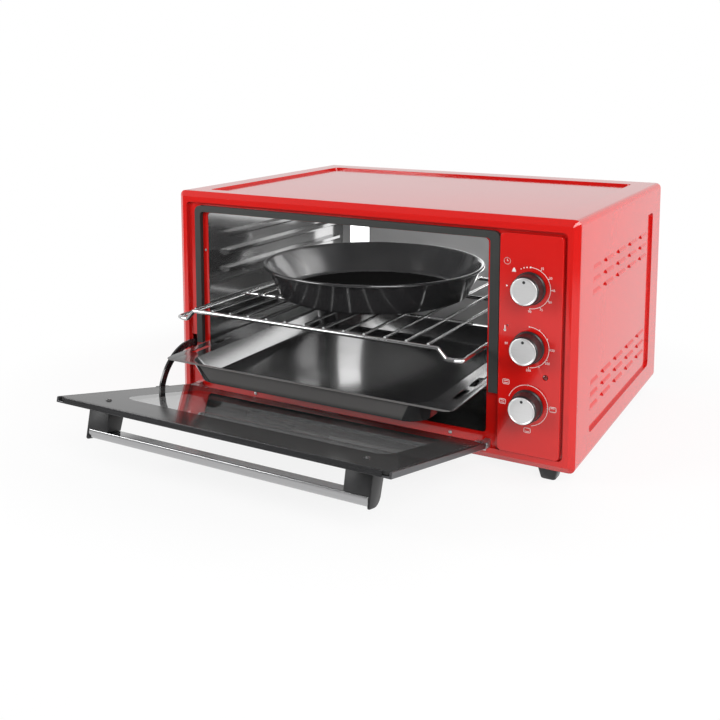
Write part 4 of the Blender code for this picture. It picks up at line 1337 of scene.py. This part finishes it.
@dataclass
class Prints:
    """White marks round the dials: arcs, ticks, dots, numbers and plain signs.

    Angles are degrees clockwise from the top. Places are in the panel's x and z, and the signs stand off
    their dial's centre by shares of the arc's radius.
    """

    lift: float = 0.00008
    line: float = 0.00055
    arc_radius: float = 0.0224
    label_radius: float = 0.0256
    tick: float = 0.0013
    dot: float = 0.0008
    text_size: float = 0.0036
    oven: float = 0.0036
    clock: float = 0.0036
    bell: float = 0.0024
    clock_off: Flat = (-1.165, 1.21)
    bell_off: Flat = (-0.817, 0.80)
    zero_off: Flat = (-1.156, 0.0)
    thermometer_off: Flat = (-1.223, 0.786)
    oven_off: Flat = (-1.12, 1.01)

    def __post_init__(self) -> None:
        """Takes the panel's face and the dials' centres from the frame."""
        self.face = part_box("control_panel")[0].y
        self.centres: dict[str, Flat] = {}
        for name in ("timer", "thermostat", "selector"):
            low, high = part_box(name + "_knob")
            self.centres[name] = ((low.x + high.x) / 2, (low.z + high.z) / 2)
        self.build = Build()

    def spot(self, dial: str, angle: float, radius: float) -> Flat:
        """A place at an angle and radius from a dial's centre.

        Args:
            dial: Its name.
            angle: Degrees clockwise from the top.
            radius: Metres.

        Returns:
            The place.
        """
        turn = math.radians(angle)
        middle = self.centres[dial]
        return middle[0] + radius * math.sin(turn), middle[1] + radius * math.cos(turn)

    def off(self, dial: str, share: Flat) -> Flat:
        """A place off a dial's centre by shares of the arc's radius."""
        middle = self.centres[dial]
        return middle[0] + self.arc_radius * share[0], middle[1] + self.arc_radius * share[1]

    def shape(self, outline: Sequence[Flat]) -> None:
        """Adds one flat inked shape, a hair above the panel."""
        self.build.slab(outline, self.face, self.face - self.lift)

    def sized(self, middle: Flat, size: float, corners: Sequence[Flat]) -> None:
        """Adds a shape whose corners are given as shares of its size.

        Args:
            middle: Its centre.
            size: Its size.
            corners: Places of its corners as shares.
        """
        self.shape([(middle[0] + size * x, middle[1] + size * z) for x, z in corners])

    def stroke(self, points: Sequence[Flat], width: float) -> None:
        """Adds a line of one width.

        Args:
            points: The line's corners.
            width: Its width.
        """
        for first, last in zip(points, points[1:]):
            start = Vector(first)
            end = Vector(last)
            along = (end - start).normalized()
            side = Vector((-along.y, along.x)) * width / 2
            tip = along * width * 0.2
            corners = (start - side - tip, end - side + tip, end + side + tip, start + side - tip)
            self.shape([tuple(corner) for corner in corners])

    def disc(self, middle: Flat, radius: float) -> None:
        """Adds a round dot."""
        self.shape(arc(middle, (radius, radius), 0.0, 360.0, 16)[:-1])

    def ring(
        self, middle: Flat, radius: float, width: float, start: float = 0.0, end: float = 360.0
    ) -> None:
        """Adds an arc.

        Args:
            middle: Its centre.
            radius: Its radius.
            width: Its line width.
            start: First angle in degrees clockwise from the top.
            end: Last angle.
        """
        steps = max(8, int(abs(end - start) / 6))
        self.stroke(arc(middle, (radius, radius), 90.0 - start, 90.0 - end, steps), width)

    def ticks(self, dial: str, angles: Iterable[float]) -> None:
        """Adds short ticks just outside the arc.

        Args:
            dial: The dial's name.
            angles: Degrees clockwise from the top.
        """
        for angle in angles:
            inner = self.spot(dial, angle, self.arc_radius - self.tick * 0.3)
            outer = self.spot(dial, angle, self.arc_radius + self.tick)
            self.stroke([inner, outer], self.line * 1.3)

    def label(self, dial: str, angle: float, text: str) -> None:
        """Adds a number outside the arc.

        Args:
            dial: The dial's name.
            angle: Degrees clockwise from the top.
            text: The number.
        """
        x, z = self.spot(dial, angle, self.label_radius)
        curve = bpy.data.curves.new("number", "FONT")
        curve.body = text
        curve.size = self.text_size
        curve.align_x = "CENTER"
        curve.align_y = "CENTER"
        curve.resolution_u = 3
        curve.extrude = self.lift / 2
        holder = bpy.data.objects.new("number", curve)
        bpy.context.scene.collection.objects.link(holder)
        mesh = bpy.data.meshes.new_from_object(holder)
        bpy.data.objects.remove(holder)
        bpy.data.curves.remove(curve)
        mesh.transform(Matrix.Rotation(math.radians(90), 4, "X"))
        mesh.transform(Matrix.Translation((x, self.face - self.lift / 2, z)))
        self.build.bm.from_mesh(mesh)
        bpy.data.meshes.remove(mesh)

    def oven_sign(self, middle: Flat, top: bool, bottom: bool) -> None:
        """Adds a plain oven outline with a heater line at its top, bottom or both.

        Args:
            middle: Its centre.
            top: Whether the upper line shows.
            bottom: Whether the lower line shows.
        """
        tall = self.oven * 0.72
        reach = self.oven * 0.6
        outline = rounded_outline(middle, (self.oven, tall), self.oven * 0.3, 3)
        self.stroke([*outline, outline[0]], self.line)
        for shown, share in ((top, 0.45), (bottom, -0.45)):
            if shown:
                level = middle[1] + tall * share
                self.stroke([(middle[0] - reach, level), (middle[0] + reach, level)], self.line)

    def clock_sign(self, middle: Flat) -> None:
        """Adds a clock with two hands."""
        x, z = middle
        self.ring(middle, self.clock, self.line)
        self.stroke([(x, z + self.clock * 0.6), middle, (x + self.clock * 0.4, z)], self.line)

    def thermometer_sign(self, middle: Flat) -> None:
        """Adds a thermometer with the round sign of degrees beside it.

        Args:
            middle: Its centre.
        """
        x, z = middle
        size = self.bell
        foot = (x, z - size * 0.9)
        self.disc(foot, size * 0.6)
        self.stroke([foot, (x, z + size * 1.2)], size * 0.45)
        self.ring((x + size * 1.0, z + size * 1.5), size * 0.25, self.line * 0.7)
        self.ring((x + size * 1.9, z + size * 1.2), size * 0.55, self.line, -150.0, -30.0)

    def timer(self) -> None:
        """Minutes with growing dots before zero, a clock, a bell and a wedge at the hold position."""
        name = "timer"
        self.ring(self.centres[name], self.arc_radius, self.line, 2.0, 178.0)
        for angle, share in ((-28.0, 0.7), (-19.0, 0.85), (-10.0, 1.0), (0.0, 1.2)):
            self.disc(self.spot(name, angle, self.arc_radius), self.dot * share)
        marks = range(30, 181, 30)
        self.ticks(name, marks)
        for angle in marks:
            self.label(name, angle, str(angle // 2))
        self.clock_sign(self.off(name, self.clock_off))
        bell = ((-1.0, -0.8), (1.0, -0.8), (0.6, 0.4), (0.0, 1.2), (-0.6, 0.4))
        self.sized(self.off(name, self.bell_off), self.bell, bell)
        wedge = ((-0.7, -0.9), (0.9, 0.0), (-0.7, 0.9))
        self.sized(self.off(name, self.zero_off), self.tick, wedge)

    def thermostat(self) -> None:
        """Degrees and a thermometer."""
        name = "thermostat"
        self.ring(self.centres[name], self.arc_radius, self.line, 0.0, 176.0)
        self.disc(self.spot(name, 0.0, self.arc_radius), self.dot)
        self.ticks(name, range(30, 181, 30))
        for angle, text in ((90.0, "150"), (126.0, "200"), (180.0, "250"), (-88.0, "50")):
            self.label(name, angle, text)
        self.thermometer_sign(self.off(name, self.thermometer_off))

    def selector(self) -> None:
        """Functions as plain oven outlines."""
        name = "selector"
        self.ring(self.centres[name], self.arc_radius, self.line, -71.0, 168.0)
        for angle in (0.0, 90.0):
            self.disc(self.spot(name, angle, self.arc_radius), self.dot)
        radius = self.label_radius * 1.09
        self.oven_sign(self.spot(name, 90.0, radius), True, False)
        self.oven_sign(self.spot(name, 180.0, radius), False, True)
        self.oven_sign(self.spot(name, -90.0, radius * 1.03), True, True)
        self.oven_sign(self.off(name, self.oven_off), True, True)

    def make(self) -> None:
        """Builds the marks as one piece."""
        self.timer()
        self.thermostat()
        self.selector()
        settle(self.build.object("panel_marks", WHITE_INK), Body.CASE)


# Studio.


@dataclass(frozen=True)
class Softbox:
    """One rectangular light: its place, what it points at, its width and height, and its watts."""

    name: str
    place: Point
    aim: Point
    size: Flat
    power: float

    def make(self) -> bpy.types.Object:
        """Makes the lamp.

        Returns:
            The lamp.
        """
        data = bpy.data.lights.new(self.name, "AREA")
        data.shape = "RECTANGLE"
        data.size, data.size_y = self.size
        data.energy = self.power
        lamp = bpy.data.objects.new(self.name, data)
        bpy.context.scene.collection.objects.link(lamp)
        toward = Vector(self.aim) - Vector(self.place)
        turn = toward.to_track_quat("-Z", "Y").to_matrix().to_4x4()
        lamp.matrix_world = Matrix.Translation(self.place) @ turn
        return lamp


@dataclass(frozen=True)
class Glint:
    """A soft light under the cavity's roof or on its back, placed and sized by shares of that sheet.

    It says whether shiny surfaces mirror it, whether it lights dull ones and whether the camera sees it.
    """

    name: str
    place: Flat
    size: Flat
    power: float
    under_roof: bool = False
    mirrored: bool = True
    lights: bool = False
    seen: bool = False
    gap: float = 0.004

    def make(self) -> None:
        """Makes the lamp."""
        low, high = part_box("cavity_wrap")
        span = high - low
        x = low.x + span.x * self.place[0]
        if self.under_roof:
            place = Vector((x, low.y + span.y * self.place[1], high.z - self.gap))
            size = (span.x * self.size[0], span.y * self.size[1])
            way = Vector(DOWN)
        else:
            place = Vector((x, high.y - self.gap, low.z + span.z * self.place[1]))
            size = (span.x * self.size[0], span.z * self.size[1])
            way = Vector(FORWARD)
        lamp = Softbox(self.name, tuple(place), tuple(place + way), size, self.power).make()
        lamp.visible_camera = self.seen
        lamp.visible_diffuse = self.lights
        lamp.visible_glossy = self.mirrored


SOFTBOXES = (
    Softbox("key", (1.5, -1.7, 1.5), (0.1, 0.0, 0.1), (1.4, 1.2), 40.0),
    Softbox("fill", (-1.5, -1.6, 0.95), (0.0, 0.1, 0.12), (1.2, 0.8), 30.0),
    Softbox("side", (2.2, 0.3, 0.9), (0.2, 0.0, 0.15), (1.2, 1.0), 26.0),
)

# These stand for the photograph's reflections off the oven's bright inside.
GLINTS = (
    Glint("roof", (0.50, 0.50), (0.90, 0.75), 0.80, under_roof=True, mirrored=False, lights=True),
    Glint("pan_glint", (0.59, 0.70), (0.20, 0.16), 1.40, under_roof=True),
    Glint("tray_glint", (0.75, 0.45), (0.48, 0.16), 0.12),
    Glint("flange_glint", (0.50, 0.83), (0.55, 0.30), 0.068),
    Glint("back_strip", (0.085, 0.54), (0.088, 0.38), 0.020, seen=True),
)


@dataclass
class Studio:
    """Floor, light and camera."""

    camera_right: float = 0.54207
    camera_back: float = 0.96143
    camera_height: float = 0.44522
    camera_turn: float = 0.50951
    camera_tilt: float = 0.12153
    camera_shift: float = -0.24
    lens: float = 47.925
    floor_size: float = 12.0
    floor_cells: int = 24
    paper_dark: Colour = (0.84, 0.84, 0.84)
    paper_light: Colour = (0.87, 0.87, 0.87)
    shadow_start: float = 0.45
    shadow_end: float = 0.65
    shadow_share: float = 0.86
    through_share: float = 0.6
    lit_start: float = 0.70
    lit_end: float = 1.15
    front_dim: float = 0.85
    mirror_share: float = 0.85
    room_front: float = 0.14
    room_back: float = 0.85
    room_top: float = 0.45

    def floor(self) -> None:
        """Pale floor that reads as white, keeps the object's shadow and is mirrored darker in front."""
        build = Build()
        cells = self.floor_cells
        bmesh.ops.create_grid(build.bm, x_segments=cells, y_segments=cells, size=self.floor_size / 2)
        finish = bpy.data.materials.new("look_floor")
        finish.use_nodes = True
        net = Net(finish.node_tree)
        path = net.node("ShaderNodeLightPath")
        rays = ("Is Camera Ray", "Is Glossy Ray", "Is Transmission Ray")
        camera, glossy, transmitted = (net.signal(path.outputs[ray]) for ray in rays)
        front = net.along(FORWARD).ramp(self.lit_start, self.lit_end)
        lit = 1.0 - (front * self.front_dim)
        shown = net.away().ramp(self.shadow_start, self.shadow_end, self.shadow_share, 1.0)
        paper = net.tint(net.noise(Grain(300.0)), self.paper_dark, self.paper_light)
        diffuse = net.node("ShaderNodeBsdfDiffuse", inputs={0: paper}).outputs[0]
        glow = net.emission(1.0)
        seen = net.mixed((camera * shown).highest(transmitted * self.through_share), diffuse, glow)
        mirrored = net.mixed(lit * self.mirror_share, net.emission(0.0), glow)
        net.surface(net.mixed(glossy, seen, mirrored))
        piece = build.object("floor", WHITE_INK)
        piece.data.materials[0] = finish

    def world(self) -> None:
        """White room that is darker behind the camera and overhead."""
        world = bpy.data.worlds.new("room")
        bpy.context.scene.world = world
        world.use_nodes = True
        net = Net(world.node_tree)
        direction = net.node("ShaderNodeTexCoord").outputs["Generated"]
        parts = net.node("ShaderNodeSeparateXYZ", inputs={0: direction})
        back = net.signal(parts.outputs[1]).ramp(-0.75, 0.1, self.room_front, self.room_back)
        top = net.signal(parts.outputs[2]).ramp(0.25, 0.9, 1.0, self.room_top)
        camera = net.signal(net.node("ShaderNodeLightPath").outputs["Is Camera Ray"])
        inputs = {0: (1.0, 1.0, 1.0, 1.0), 1: back.lowest(top).highest(camera)}
        shader = net.node("ShaderNodeBackground", inputs=inputs).outputs[0]
        net.node("ShaderNodeOutputWorld", inputs={0: shader})

    def camera(self) -> None:
        """The photograph's view."""
        data = bpy.data.cameras.new("camera")
        data.sensor_width = 36.0
        data.lens = self.lens
        data.shift_y = self.camera_shift
        camera = bpy.data.objects.new("camera", data)
        bpy.context.scene.collection.objects.link(camera)
        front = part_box("front_frame")[0].y
        place = Vector((self.camera_right, front - self.camera_back, self.camera_height))
        turn = Matrix.Rotation(self.camera_turn, 4, "Z")
        tilt = Matrix.Rotation(math.pi / 2 - self.camera_tilt, 4, "X")
        camera.matrix_world = Matrix.Translation(place) @ turn @ tilt
        bpy.context.scene.camera = camera

    def make(self) -> None:
        """Sets the stage."""
        self.floor()
        self.world()
        for lamp in (*SOFTBOXES, *GLINTS):
            lamp.make()
        self.camera()
        bpy.context.scene.view_settings.view_transform = "Standard"


def main() -> None:
    """Builds everything in order."""
    logging.basicConfig(level=logging.INFO, format="%(message)s")
    for group in (Studio(), Case(), Cavity(), Door(), Rack(), Tray(), Pan()):
        group.make()
    for name, body in (("timer", Body.TIMER), ("thermostat", Body.THERMOSTAT), ("selector", Body.SELECTOR)):
        Dial(name, body).make()
    Prints().make()


if __name__ == "__main__":
    main()
